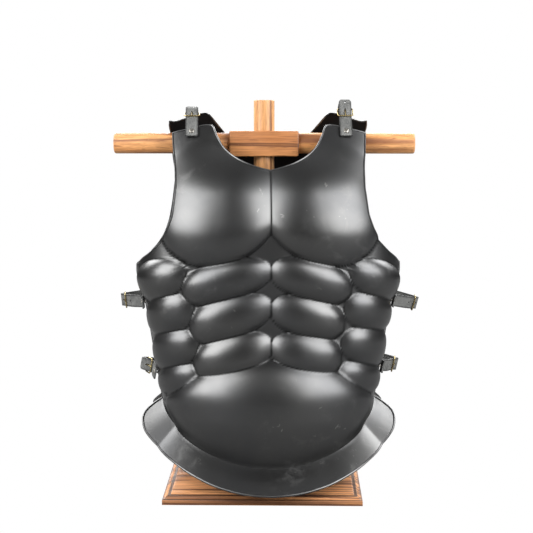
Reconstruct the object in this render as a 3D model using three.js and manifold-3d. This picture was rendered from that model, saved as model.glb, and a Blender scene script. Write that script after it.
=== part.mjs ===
// Blackened-steel muscle cuirass hanging on a plain wooden T-stand.
// Units are millimetres, +Z is up, and the chest faces -Y.
// The origin is the middle of the underside of the stand's base.
//
// Each plate is one raised sheet. A point on it is named by its turn (degrees
// round the body from the middle of the plate) and its height. A table of
// sections gives the plain shell, a table of swells gives the muscles raised
// out of it, and the outline tables say where the sheet stops.

import * as THREE from 'three';
import { mergeVertices } from 'three/addons/utils/BufferGeometryUtils.js';
import Module from 'manifold-3d';

const wasm = await Module();
wasm.setup();

// ---------------------------------------------------------------- sizes

const GAP = 0.3;                 // left between pieces that touch
const SHEET = 1.2;               // thickness of the steel sheet

const BASE_SIDE = 315;
const BASE_HEIGHT = 15;
const POST_RADIUS = 16.8;
const POST_TOP = 631;
const CROSSBAR_HEIGHT = 561;     // axis of the two arms
const ARM_RADIUS = 16.9;
const ARM_REACH = 245;           // from the post's axis to an arm's end
const BLOCK = { length: 112, depth: 46, height: 41, bevel: 2.5 };
const TENON_RADIUS = 9;
const TENON_LENGTH = 14;
const ARM_END = { length: 3, chamfer: 0.9 };   // an arm's eased end

const HANG_TURN = 3;             // the cuirass hangs turned this many degrees
const HANG_OFFSET = [7, 0, 14];  // and this far from the stand's origin

const STRAP_WIDTH = 20;
const STRAP_THICK = 2.5;
const STRAP_STANDOFF = 2.0;      // from the steel to a riveted strap
const STRAP_EASE = 1.1;          // room round a strap where it threads its buckle
const BAR_RADIUS = 1.2;          // wire of a buckle frame
const BUCKLE_LENGTH = 17;        // from one cross bar to the other
const BUCKLE_WIDTH = 24;         // between the axes of the two side bars
const EYE_WALL = 2;              // leather folded round a buckle's hinge bar
const EYE_BORE = 1.75;           // hole in that fold, and in the prong's ring
const BUCKLE_CHAMFER = 0.75;     // along the wire of a buckle frame
const RIVET = { head: 4.2, rise: 1.7, shank: 1.5, shoulder: 0.7 };
const RIVET_HOLE = { radius: 1.9, overrun: 3 };

// Buckle prong: a ring and a tapering pin, and the slot that it needs through the
// leather. rootOut and rootUp say where the pin leaves the ring.
const PRONG = {
  width: 2.2, wall: 1.5, rootOut: 0.5, rootUp: 0.7, halfRoot: 0.9, halfTip: 0.6, past: 3,
  slotWidth: 3.4, slotHalf: 1.9, slotOverrun: 2, room: 1.5,
};

const STEEL = { color: 0x33343a, roughness: 0.35, metalness: 1 };
const LEATHER = { color: 0x4d4f4f, roughness: 0.75, metalness: 0 };
const BRASS = { color: 0xb59b63, roughness: 0.35, metalness: 1 };
const WOOD = { color: 0xb07443, roughness: 0.55, metalness: 0 };

// ---------------------------------------------------------------- plate tables

// Shell of the breastplate: half width and depth at each height. square is how much
// squarer a section is than a plain oval, or less than 0 for a more pointed one.
const FRONT_SECTIONS = table('height halfWidth depth square', [
  [0, 172, 126, 0.01], [55, 172, 129, 0.01], [120, 176, 137, 0.01], [200, 188, 133, 0.02],
  [290, 203, 127, 0.03], [342, 216, 127, 0.03], [400, 211, 124, 0.03], [470, 203, 108, 0.03],
  [520, 197, 84, 0.03], [576, 190, 40, 0.03], [620, 186, 5, 0.03],
]);

// Shell of the backplate. Its shoulder flaps lean forward over the arms.
const BACK_SECTIONS = table('height halfWidth depth square', [
  [0, 172, 122, 0.03], [55, 172, 122, 0.03], [120, 174, 118, 0.03], [200, 184, 108, 0.03],
  [290, 200, 108, 0.03], [342, 212, 116, 0.03], [400, 210, 124, 0.03], [470, 203, 122, 0.03],
  [505, 198, 104, 0.03], [528, 195, 78, 0.03], [547, 191, 52, 0.03], [559, 189, 39, 0.03],
  [571, 188, 27, 0.03], [583, 187, 16, 0.03], [600, 186, 3, 0.03],
]);

// Where the sheet stops at the side: the armhole above the armpit, the side edge below.
const FRONT_SIDE = table('height turn', [
  [40, 88], [350, 88], [356, 77], [364, 70], [375, 61], [390, 53.5], [405, 47.8], [420, 44.2],
  [445, 42], [475, 42.2], [500, 44.2], [530, 47.7], [566, 51], [590, 53],
]);
const BACK_SIDE = table('height turn', [
  [40, 88], [345, 88], [352, 76], [362, 67], [376, 58], [396, 51], [420, 47.5], [450, 46.5],
  [485, 47], [520, 50], [560, 54], [576, 56.5], [600, 57],
]);

// Top edge (neckline, then shoulder) across the plate, 0 in the middle and 1 at its side.
const FRONT_TOP = table('across height', [
  [0, 508.5], [0.1, 513], [0.19, 518.5], [0.27, 525], [0.35, 534], [0.42, 546], [0.47, 562],
  [0.505, 578], [0.55, 578.5], [0.75, 573], [1, 566],
]);
const BACK_TOP = table('across height', [
  [0, 526], [0.2, 529], [0.3, 540], [0.36, 560], [0.44, 582], [0.53, 597], [0.62, 595],
  [0.8, 587], [0.93, 583], [1, 584],
]);

// Bottom edge of the shell, where the flange is turned out of it.
const FRONT_BOTTOM = table('across height', [
  [0, 42], [0.1, 43.5], [0.25, 52], [0.4, 66], [0.55, 81], [0.7, 95], [0.82, 107], [0.92, 117],
  [1, 126],
]);
const BACK_BOTTOM = table('across height', [
  [0, 62], [0.3, 68], [0.5, 84], [0.7, 112], [0.85, 126], [1, 132],
]);

// Flange: its width, square to the shell's bottom edge, and the degrees it slopes down.
const FRONT_FLANGE = table('across width drop', [
  [0, 56, 36], [0.1, 55.5, 36], [0.25, 53, 38], [0.4, 49, 41], [0.55, 46, 43], [0.7, 47, 41],
  [0.82, 48, 36], [0.91, 44, 31], [0.96, 36, 28], [0.985, 20, 27], [1, 6, 27],
]);
const BACK_FLANGE = table('across width drop', [
  [0, 46, 35], [0.5, 44, 35], [0.75, 42, 35], [0.85, 33, 35], [0.92, 20, 35], [0.97, 9, 35],
  [1, 4, 35],
]);

// Muscles of the breastplate. Each fills a four-sided patch: from the inner to
// the outer turn, between a low and a high line given at both ends and bowed in
// the middle. Neighbours overlap, so they meet in a crease. side is 0 for a
// muscle on both sides. ridge and crown are how far across and up the patch the
// swell is fullest; softLow and softHigh say how gently it dies away below and above.
const SWELL_COLUMNS =
  'side inner outer innerLow innerHigh outerLow outerHigh bowLow bowHigh rise ridge crown softLow softHigh';
const FRONT_SWELLS = table(SWELL_COLUMNS, [
  // chest
  [-1, -4, 58, 398, 560, 398, 550, 40, 0, 22, 0.39, 0.38, 0.7, 1.8],
  [+1, -4, 58, 398, 560, 398, 550, 40, 0, 22, 0.39, 0.38, 0.7, 1.8],
  // the wearer's right column of the belly, top to bottom
  [-1, -0.3, 38.0, 323, 382, 286, 347, 1, 4, 15, 0.5, 0.5, 0.75, 0.8],
  [-1, -0.3, 37.2, 263, 329, 225, 291, 1, 3, 15, 0.5, 0.5, 0.75, 0.8],
  [-1, -0.3, 38.2, 201, 269, 166, 231, 4, 3, 15, 0.5, 0.5, 0.75, 0.8],
  // the wearer's left column
  [+1, -0.3, 33.8, 319, 383, 289, 349, 1, 4, 15, 0.5, 0.5, 0.75, 0.8],
  [+1, -0.3, 33.2, 258, 325, 235, 294, 1, 3, 15, 0.5, 0.5, 0.75, 0.8],
  [+1, -0.3, 34.0, 200, 264, 176, 241, 4, 3, 15, 0.5, 0.5, 0.75, 0.8],
  // ribs and flank, the wearer's right
  [-1, 34.6, 80, 317, 374, 282, 352, 2, 2, 13, 0.42, 0.5, 0.75, 0.8],
  [-1, 33.0, 80, 260, 323, 230, 288, 2, 2, 13, 0.42, 0.5, 0.75, 0.8],
  [-1, 33.0, 80, 207, 266, 170, 236, 2, 2, 13, 0.42, 0.5, 0.75, 0.8],
  [-1, 34.4, 80, 154, 212, 132, 177, 2, 2, 13, 0.42, 0.5, 0.75, 0.8],
  // ribs and flank, the wearer's left
  [+1, 31.6, 80, 319, 378, 282, 340, 2, 2, 13, 0.42, 0.5, 0.75, 0.8],
  [+1, 31.2, 80, 261, 324, 238, 288, 2, 2, 13, 0.42, 0.5, 0.75, 0.8],
  [+1, 32.0, 80, 208, 267, 175, 245, 2, 2, 13, 0.42, 0.5, 0.75, 0.8],
  [+1, 31.4, 80, 153, 214, 136, 181, 2, 2, 13, 0.42, 0.5, 0.75, 0.8],
  // lower belly
  [0, -74, 74, 125, 128, 125, 128, 150, 84, 28, 0.5, 0.69, 1.2, 0.8],
]);
const BACK_SWELLS = table(SWELL_COLUMNS, [
  [-1, 2, 62, 350, 520, 330, 500, 0, 0, 9, 0.5, 0.5, 2.0, 2.0],
  [+1, 2, 62, 350, 520, 330, 500, 0, 0, 9, 0.5, 0.5, 2.0, 2.0],
  [-1, 2, 60, 120, 330, 150, 320, 0, 0, 6, 0.5, 0.5, 2.0, 2.0],
  [+1, 2, 60, 120, 330, 150, 320, 0, 0, 6, 0.5, 0.5, 2.0, 2.0],
]);
const PATCH_SQUARENESS = 2.4;    // 2 gives oval swells, more gives squarer ones
const SWELL_FLATNESS = 2.4;      // more keeps a swell fuller towards its edges

const BREASTPLATE = {
  facing: -1,
  sections: FRONT_SECTIONS,
  side: FRONT_SIDE,
  top: FRONT_TOP,
  bottom: FRONT_BOTTOM,
  flange: FRONT_FLANGE,
  swells: FRONT_SWELLS,
  columns: 38,
  rows: 31,
};
const BACKPLATE = {
  facing: +1,
  sections: BACK_SECTIONS,
  side: BACK_SIDE,
  top: BACK_TOP,
  bottom: BACK_BOTTOM,
  flange: BACK_FLANGE,
  swells: BACK_SWELLS,
  columns: 20,
  rows: 17,
};
const FLANGE_ROWS = 3;

// ---------------------------------------------------------------- strap tables

// Side straps. side is -1 at the wearer's right. height is the strap's middle at
// the breastplate, reach is how far the buckle stands out from the plates' edge,
// splay how much further its hinge bar does, and tilt how far the strap drops
// over a reach of one.
const SIDE_STRAPS = table('name side height reach splay tilt tongue', [
  ['side_upper_right', -1, 291, 33, 1, 0.10, 9],
  ['side_upper_left', +1, 291, 41, 1, 0.26, 9],
  ['side_lower_right', -1, 174, 12, 8, -0.2, 10],
  ['side_lower_left', +1, 182, 25, 2, 0.22, 9],
]);

// Shoulder straps. across is the strap's middle from the body's middle, slope that
// of the buckle in degrees, tongue the length of the free end and lean its slope.
const SHOULDER_STRAPS = table('name side across slope tongue lean', [
  ['shoulder_right', -1, 124, 14, 9, 22],
  ['shoulder_left', +1, 123, 40, 11, 60],
]);
const SHOULDER_BAR = { y: -30, z: 592 };   // cross bar over the tongue
const FLAP_TOP = 591;                      // top of the backplate under the strap
const FLAP_CLEAR = 5;                      // from there up to the strap's middle

// Where a strap lies on a plate: its end, its rivet, and where it leaves the steel.
// Past there, lift is where it bows out to its buckle, bow how far across the way,
// and tuck and clear keep the back one behind the edge but off the steel.
const SIDE_FRONT_Y = { end: -40, rivet: -32, leave: -24, lift: -10, bow: 0.55 };
const SIDE_BACK_Y = { end: 66, rivet: 57, leave: 48, lift: 38, bow: 0.45, tuck: 6, clear: 3.5 };
const SIDE_BAR_Y = 5;                      // near bar of a side buckle
const SHOULDER_FRONT_Z = { end: 558, rivet: 565, leave: 571 };
const SHOULDER_BACK_Z = { end: 561, rivet: 568, leave: 576, lift: 588, ahead: 3 };
const SIDE_TURNS = [20, 88];               // where a side strap can lie on a plate
const SHOULDER_TURNS = [5, 70];            // and a shoulder strap
const SHOULDER_EXTRA = 1;                  // more standoff at the shoulders
const SHANK_DEPTH = 4.5;                   // how far a rivet goes in below its strap
const EYE_INSET = 1.5;                     // how far a buckle strap runs into its fold
const THREADING = { along: 0.55, up: 0.45 };   // where a tongue crosses the buckle
const SIDE_TIP_DROP = 1;                   // how far a side tongue's tip falls back

// How far a tongue's middle passes under the near bar, and over the folded eye.
const TONGUE_UNDER = BAR_RADIUS + STRAP_EASE + STRAP_THICK / 2;
const TONGUE_OVER = EYE_BORE + EYE_WALL + STRAP_EASE + STRAP_THICK / 2;

// ---------------------------------------------------------------- small maths

function table(columns, rows) {
  const names = columns.split(' ');
  return rows.map((row) => Object.fromEntries(names.map((name, i) => [name, row[i]])));
}

const radians = (degrees) => (degrees * Math.PI) / 180;
const mix = (a, b, t) => a + (b - a) * t;
const clamp = (value, low, high) => Math.min(Math.max(value, low), high);
const smooth = (t) => t * t * (3 - 2 * t);

// Reads a table at any key with a smooth curve that never overshoots.
function readTable(rows, key, column, at) {
  const last = rows.length - 1;
  const value = clamp(at, rows[0][key], rows[last][key]);
  let i = 0;
  while (i < last - 1 && value > rows[i + 1][key]) i += 1;
  const slopeOf = (k) => (rows[k + 1][column] - rows[k][column]) / (rows[k + 1][key] - rows[k][key]);
  const tangent = (k) => {
    if (k === 0) return slopeOf(0);
    if (k === last) return slopeOf(last - 1);
    const before = slopeOf(k - 1);
    const after = slopeOf(k);
    return before * after <= 0 ? 0 : (2 * before * after) / (before + after);
  };
  const span = rows[i + 1][key] - rows[i][key];
  const t = (value - rows[i][key]) / span;
  const rest = 1 - t;
  return (
    rows[i][column] * (1 + 2 * t) * rest * rest +
    rows[i + 1][column] * t * t * (3 - 2 * t) +
    tangent(i) * span * t * rest * rest -
    tangent(i + 1) * span * t * t * rest
  );
}

// ---------------------------------------------------------------- plates

// A point on the plain shell, and the outward direction there seen from above.
function shellPoint(plate, turn, height) {
  const width = readTable(plate.sections, 'height', 'halfWidth', height);
  const depth = readTable(plate.sections, 'height', 'depth', height);
  const angle = radians(turn);
  const k = readTable(plate.sections, 'height', 'square', height);
  const x = width * ((1 + k) * Math.sin(angle) + k * Math.sin(3 * angle));
  const y = plate.facing * depth * ((1 + k) * Math.cos(angle) - k * Math.cos(3 * angle));
  return new THREE.Vector3(x, y, height);
}

function shellOutward(plate, turn, height) {
  const step = 0.5;
  const a = shellPoint(plate, turn - step, height);
  const b = shellPoint(plate, turn + step, height);
  const along = b.sub(a);
  const outward = new THREE.Vector3(along.y, -along.x, 0).normalize();
  if (outward.y * plate.facing < 0) outward.negate();
  return outward;
}

// 0 at the peak, and 1 at both ends of the stretch from 0 to 1.
const fromPeak = (t, peak) => (t < peak ? 1 - t / peak : (t - peak) / (1 - peak));

// Height of one swell over the shell.
function swellRise(swell, turn, height) {
  if (turn * swell.side < 0) return 0;
  const s = (Math.abs(turn) - swell.inner) / (swell.outer - swell.inner);
  if (s <= 0 || s >= 1) return 0;
  const bow = 4 * s * (1 - s);
  const low = mix(swell.innerLow, swell.outerLow, s) - swell.bowLow * bow;
  const high = mix(swell.innerHigh, swell.outerHigh, s) + swell.bowHigh * bow;
  const t = (height - low) / (high - low);
  if (t <= 0 || t >= 1) return 0;
  const acrossOff = fromPeak(s, swell.ridge);
  const upOff = fromPeak(t, swell.crown);
  const away = (acrossOff ** PATCH_SQUARENESS + upOff ** PATCH_SQUARENESS) ** (1 / PATCH_SQUARENESS);
  if (away >= 1) return 0;
  return swell.rise * (1 - away ** SWELL_FLATNESS) ** mix(swell.softLow, swell.softHigh, smooth(t));
}

function relief(plate, turn, height) {
  return Math.max(0, ...plate.swells.map((swell) => swellRise(swell, turn, height)));
}

function platePoint(plate, turn, height) {
  const outward = shellOutward(plate, turn, height);
  return shellPoint(plate, turn, height).addScaledVector(outward, relief(plate, turn, height));
}

// Grid of points on the outer face: flange rows first, from its rim inward, then
// the shell from its bottom edge to its top edge.
function plateGrid(plate) {
  const grid = [];
  for (let row = -FLANGE_ROWS; row <= plate.rows; row += 1) {
    const line = [];
    for (let column = 0; column <= plate.columns; column += 1) {
      const across = (2 * column) / plate.columns - 1;
      const bottom = readTable(plate.bottom, 'across', 'height', Math.abs(across));
      const top = readTable(plate.top, 'across', 'height', Math.abs(across));
      const height = mix(bottom, top, Math.max(row, 0) / plate.rows);
      const turn = across * readTable(plate.side, 'height', 'turn', height);
      const point = platePoint(plate, turn, height);
      if (row < 0) {
        const width = readTable(plate.flange, 'across', 'width', Math.abs(across));
        const drop = radians(readTable(plate.flange, 'across', 'drop', Math.abs(across)));
        const out = (-row / FLANGE_ROWS) * width;
        point.addScaledVector(shellOutward(plate, turn, height), out * Math.cos(drop));
        point.z -= out * Math.sin(drop);
      }
      line.push(point);
    }
    grid.push(line);
  }
  return grid;
}

// Unit normals of a grid, pointing out of the body.
function gridNormals(grid, facing) {
  const lastRow = grid.length - 1;
  const lastColumn = grid[0].length - 1;
  return grid.map((line, r) => line.map((_, c) => {
    const up = grid[Math.min(r + 1, lastRow)][c].clone().sub(grid[Math.max(r - 1, 0)][c]);
    const along = line[Math.min(c + 1, lastColumn)].clone().sub(line[Math.max(c - 1, 0)]);
    return along.cross(up).normalize().multiplyScalar(-facing);
  }));
}

// Closes a grid of points into a sheet of even thickness.
function sheetGeometry(grid, facing) {
  const rows = grid.length;
  const columns = grid[0].length;
  const normals = gridNormals(grid, facing);
  const outer = grid.flat();
  const inner = outer.map((p, i) => p.clone().addScaledVector(normals.flat()[i], -SHEET));
  const positions = [...outer, ...inner].flatMap((p) => p.toArray());
  const index = [];
  const face = (a, b, c, d) => {
    const ring = facing < 0 ? [a, b, c, d] : [d, c, b, a];
    index.push(ring[0], ring[1], ring[2], ring[0], ring[2], ring[3]);
  };
  const out = (r, c) => r * columns + c;
  const back = (r, c) => rows * columns + r * columns + c;
  for (let r = 0; r < rows - 1; r += 1) {
    for (let c = 0; c < columns - 1; c += 1) {
      face(out(r, c), out(r, c + 1), out(r + 1, c + 1), out(r + 1, c));
      face(back(r, c), back(r + 1, c), back(r + 1, c + 1), back(r, c + 1));
    }
  }
  for (let c = 0; c < columns - 1; c += 1) {
    face(out(0, c), back(0, c), back(0, c + 1), out(0, c + 1));
    face(out(rows - 1, c), out(rows - 1, c + 1), back(rows - 1, c + 1), back(rows - 1, c));
  }
  for (let r = 0; r < rows - 1; r += 1) {
    face(out(r, 0), out(r + 1, 0), back(r + 1, 0), back(r, 0));
    face(out(r, columns - 1), back(r, columns - 1), back(r + 1, columns - 1), out(r + 1, columns - 1));
  }
  const geometry = new THREE.BufferGeometry();
  geometry.setAttribute('position', new THREE.Float32BufferAttribute(positions, 3));
  geometry.setIndex(index);
  return geometry;
}

// ---------------------------------------------------------------- solids

function toSolid(geometry) {
  const plain = geometry.clone();
  plain.deleteAttribute('normal');
  plain.deleteAttribute('uv');
  const merged = mergeVertices(plain, 1e-4);
  return new wasm.Manifold(new wasm.Mesh({
    numProp: 3,
    vertProperties: new Float32Array(merged.attributes.position.array),
    triVerts: new Uint32Array(merged.index.array),
  }));
}

function toGeometry(solid) {
  const mesh = solid.getMesh();
  const geometry = new THREE.BufferGeometry();
  geometry.setAttribute('position', new THREE.Float32BufferAttribute(mesh.vertProperties, 3));
  geometry.setIndex(Array.from(mesh.triVerts));
  return geometry;
}

const join = (...geometries) => toGeometry(geometries.map(toSolid).reduce((a, b) => a.add(b)));
const cut = (geometry, ...tools) =>
  toGeometry(tools.map(toSolid).reduce((a, b) => a.subtract(b), toSolid(geometry)));

// A round rod from one point to another.
function rod(from, to, radius, sides = 8) {
  const along = to.clone().sub(from);
  const geometry = new THREE.CylinderGeometry(radius, radius, along.length(), sides);
  const turn = new THREE.Quaternion().setFromUnitVectors(new THREE.Vector3(0, 1, 0), along.normalize());
  geometry.applyQuaternion(turn);
  const middle = from.clone().add(to).multiplyScalar(0.5);
  return geometry.translate(middle.x, middle.y, middle.z);
}

const pieces = new THREE.Group();
const cuirass = new THREE.Group();
cuirass.rotation.z = radians(HANG_TURN);
cuirass.position.set(...HANG_OFFSET);
pieces.add(cuirass);

function addPiece(parent, name, geometry, look) {
  const mesh = new THREE.Mesh(geometry, new THREE.MeshStandardMaterial(look));
  mesh.name = name;
  parent.add(mesh);
}

// ---------------------------------------------------------------- straps

// A strap set is drawn in its own plane: first axis, second axis, and the
// strap's width along the third.
function setFrame(origin, first, second) {
  const width = first.clone().cross(second).normalize();
  return new THREE.Matrix4().makeBasis(first, second, width).setPosition(origin);
}

// A band of leather whose middle follows a smooth curve through flat points.
function strapGeometry(points) {
  const curve = new THREE.SplineCurve(points);
  const steps = points.length * 2;
  const left = [];
  const right = [];
  for (let i = 0; i <= steps; i += 1) {
    const at = curve.getPoint(i / steps);
    const along = curve.getTangent(i / steps);
    const off = new THREE.Vector2(-along.y, along.x).multiplyScalar(STRAP_THICK / 2);
    left.push(at.clone().add(off));
    right.unshift(at.clone().sub(off));
  }
  const outline = new THREE.Shape([...left, ...right]);
  const geometry = new THREE.ExtrudeGeometry(outline, { depth: STRAP_WIDTH, bevelEnabled: false });
  return geometry.translate(0, 0, -STRAP_WIDTH / 2);
}

// Buckle frame: a ring of wire with square corners, from its near bar to its hinge bar.
function buckleGeometry(near, hinge, up) {
  const half = { x: BUCKLE_LENGTH / 2, y: BUCKLE_WIDTH / 2 };
  const rim = BAR_RADIUS - BUCKLE_CHAMFER;
  const corners = (grow) => [[-1, -1], [1, -1], [1, 1], [-1, 1]].map(([i, j]) =>
    new THREE.Vector2(i * (half.x + grow), j * (half.y + grow)));
  const outline = new THREE.Shape(corners(rim));
  outline.holes.push(new THREE.Path(corners(-rim).reverse()));
  const geometry = new THREE.ExtrudeGeometry(outline, {
    depth: 2 * rim,
    bevelSize: BUCKLE_CHAMFER,
    bevelThickness: BUCKLE_CHAMFER,
    bevelSegments: 1,
  });
  geometry.translate(0, 0, -rim);
  const along = new THREE.Vector3(hinge.x - near.x, hinge.y - near.y, 0).normalize();
  const over = new THREE.Vector3(up.x, up.y, 0);
  const middle = near.clone().lerp(hinge, 0.5);
  const place = new THREE.Matrix4().makeBasis(along, over.clone().cross(along), over);
  return geometry.applyMatrix4(place.setPosition(middle.x, middle.y, 0));
}

function disc(centre, radius) {
  const shape = new THREE.Shape();
  shape.absarc(centre.x, centre.y, radius, 0, Math.PI * 2, false);
  return shape;
}

// A straight bar between two flat points, given half its width at each end.
function flatBar(from, to, fromHalf, toHalf, overrun = 0) {
  const way = to.clone().sub(from).normalize();
  const off = new THREE.Vector2(-way.y, way.x);
  const start = from.clone().addScaledVector(way, -overrun);
  const end = to.clone().addScaledVector(way, overrun);
  return new THREE.Shape([
    start.clone().addScaledVector(off, fromHalf),
    start.clone().addScaledVector(off, -fromHalf),
    end.clone().addScaledVector(off, -toHalf),
    end.clone().addScaledVector(off, toHalf),
  ]);
}

// Prong: a ring round the hinge bar and a tapering pin laid over the near bar.
// The channel is cut through the tongue for it.
function prongShape(near, hinge, up) {
  const along = near.clone().sub(hinge).normalize();
  const tip = near.clone()
    .addScaledVector(up, BAR_RADIUS + GAP + PRONG.halfRoot)
    .addScaledVector(along, PRONG.past);
  const root = hinge.clone()
    .addScaledVector(along, EYE_BORE + PRONG.rootOut)
    .addScaledVector(up, PRONG.rootUp);
  const ring = disc(hinge, EYE_BORE + PRONG.wall);
  ring.holes.push(disc(hinge, EYE_BORE));
  return {
    ring,
    pin: flatBar(root, tip, PRONG.halfRoot, PRONG.halfTip),
    channel: flatBar(root, tip, PRONG.slotHalf, PRONG.slotHalf, PRONG.slotOverrun),
  };
}

function slab(shape, width, curveSegments = 4) {
  const geometry = new THREE.ExtrudeGeometry(shape, { depth: width, bevelEnabled: false, curveSegments });
  return geometry.translate(0, 0, -width / 2);
}

// Rivet, head first: a domed head on the leather and a shank through strap and steel.
function rivetGeometry(at, outward, depth) {
  const top = STRAP_THICK / 2 + GAP;
  const profile = [
    [0, -depth], [RIVET.shank, -depth], [RIVET.shank, top], [RIVET.head, top],
    [RIVET.head * RIVET.shoulder, top + RIVET.rise * 0.8], [0, top + RIVET.rise],
  ].map(([radius, height]) => new THREE.Vector2(radius, height));
  const geometry = new THREE.LatheGeometry(profile, 8);
  const up = new THREE.Vector3(outward.x, outward.y, 0);
  geometry.applyQuaternion(new THREE.Quaternion().setFromUnitVectors(new THREE.Vector3(0, 1, 0), up));
  return geometry.translate(at.x, at.y, 0);
}

function rivetHole(at, outward, depth) {
  const up = new THREE.Vector3(outward.x, outward.y, 0);
  const middle = new THREE.Vector3(at.x, at.y, 0);
  const from = middle.clone().addScaledVector(up, -depth - RIVET_HOLE.overrun);
  const to = middle.clone().addScaledVector(up, STRAP_THICK + RIVET_HOLE.overrun);
  return rod(from, to, RIVET_HOLE.radius);
}

// Makes one whole set from its two strap routes and its buckle's two bars. Each
// route starts at the riveted end, and rivets sit on its second point.
function addStrapSet(name, frame, route, plates) {
  const { near, hinge, up } = route;
  const prong = prongShape(near, hinge, up);
  const ends = ['front', 'back'].map((end) => {
    const points = route[end];
    const at = points[1];
    const along = points[2].clone().sub(points[0]).normalize();
    const outward = new THREE.Vector2(-along.y, along.x);
    if (outward.dot(route.outside) < 0) outward.negate();
    return { points, at, outward, depth: STRAP_THICK / 2 + SHANK_DEPTH };
  });
  const [front, back] = ends;

  const tongue = cut(
    strapGeometry(front.points),
    slab(prong.channel, PRONG.slotWidth),
    rivetHole(front.at, front.outward, front.depth),
  );
  const buckleStrap = cut(
    join(strapGeometry(back.points), slab(disc(hinge, EYE_BORE + EYE_WALL), STRAP_WIDTH)),
    slab(disc(hinge, EYE_BORE), STRAP_WIDTH * 2),
    slab(disc(hinge, EYE_BORE + EYE_WALL + PRONG.room), PRONG.slotWidth),
    rivetHole(back.at, back.outward, back.depth),
  );
  const list = {
    [`${name}_tongue_strap`]: [tongue, LEATHER],
    [`${name}_buckle_strap`]: [buckleStrap, LEATHER],
    [`${name}_buckle`]: [buckleGeometry(near, hinge, up), BRASS],
    [`${name}_prong`]: [join(slab(prong.ring, PRONG.width), slab(prong.pin, PRONG.width)), BRASS],
    [`${name}_front_rivet`]: [rivetGeometry(front.at, front.outward, front.depth), STEEL],
    [`${name}_back_rivet`]: [rivetGeometry(back.at, back.outward, back.depth), STEEL],
  };
  for (const [piece, [geometry, look]] of Object.entries(list)) {
    addPiece(cuirass, piece, geometry.applyMatrix4(frame), look);
  }
  plates.front.push(rivetHole(front.at, front.outward, front.depth).applyMatrix4(frame));
  plates.back.push(rivetHole(back.at, back.outward, back.depth).applyMatrix4(frame));
}

// The last turn between two at which a test that holds at the first still holds.
function lastTurn([from, to], holds) {
  let low = from;
  let high = to;
  while (high - low > 1e-7) {
    const middle = (low + high) / 2;
    if (holds(middle)) low = middle;
    else high = middle;
  }
  return low;
}

// How far out along x a strap has to stand at a given y to clear a plate over its
// whole width. A tilted strap's upper edge stands further out than its middle.
function sideReach(plate, side, y, height, tilt) {
  let reach = 0;
  for (let step = -3; step <= 3; step += 1) {
    const above = (step / 3) * (STRAP_WIDTH / 2);
    const pointAt = (turn) => platePoint(plate, side * turn, height + above);
    const turn = lastTurn(SIDE_TURNS, (tried) => Math.abs(pointAt(tried).y) > Math.abs(y));
    reach = Math.max(reach, Math.abs(pointAt(turn).x) - above * tilt);
  }
  return reach + STRAP_STANDOFF + STRAP_THICK / 2;
}

// Where a tongue crosses the opening of its buckle.
function threading(near, hinge, up) {
  return near.clone().lerp(hinge, THREADING.along)
    .addScaledVector(up, (TONGUE_OVER - TONGUE_UNDER) * THREADING.up);
}

function sideStrapRoute({ side, height, reach, splay, tilt, tongue }) {
  const edge = readTable(FRONT_SECTIONS, 'height', 'halfWidth', height);
  const place = (out, y) => new THREE.Vector2(out, y);
  const onPlate = (plate, y) => {
    const rough = sideReach(plate, side, y, height, tilt);
    return place(sideReach(plate, side, y, height - (rough - edge) * tilt, tilt), y);
  };
  // Three points in a straight line, standing clear of the plate.
  const rivetedEnd = (plate, ys) => {
    const leave = onPlate(plate, ys.leave).x;
    const middle = (onPlate(plate, ys.end).x + leave) / 2;
    const rivet = Math.max(onPlate(plate, ys.rivet).x, middle);
    return [place(2 * rivet - leave, ys.end), place(rivet, ys.rivet), place(leave, ys.leave)];
  };
  const near = place(edge + reach, SIDE_BAR_Y);
  const run = place(splay / BUCKLE_LENGTH, Math.sqrt(1 - (splay / BUCKLE_LENGTH) ** 2));
  const hinge = near.clone().addScaledVector(run, BUCKLE_LENGTH);
  const up = new THREE.Vector2(run.y, -run.x);
  const front = SIDE_FRONT_Y;
  const back = SIDE_BACK_Y;
  const frontLift = Math.max(
    mix(edge, edge + reach, front.bow),
    onPlate(BREASTPLATE, front.lift).x,
  );
  const backLift = Math.max(
    mix(edge - back.tuck, edge + reach, back.bow),
    onPlate(BACKPLATE, back.lift).x + back.clear,
  );
  return {
    near,
    hinge,
    up,
    outside: place(1, 0),
    front: [
      ...rivetedEnd(BREASTPLATE, front),
      place(frontLift, front.lift),
      near.clone().addScaledVector(up, -TONGUE_UNDER),
      threading(near, hinge, up),
      hinge.clone().addScaledVector(up, TONGUE_OVER),
      hinge.clone().addScaledVector(up, TONGUE_OVER - SIDE_TIP_DROP).addScaledVector(run, tongue),
    ],
    back: [
      ...rivetedEnd(BACKPLATE, back),
      place(backLift, back.lift),
      hinge.clone().addScaledVector(run, EYE_INSET),
    ],
  };
}

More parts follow.
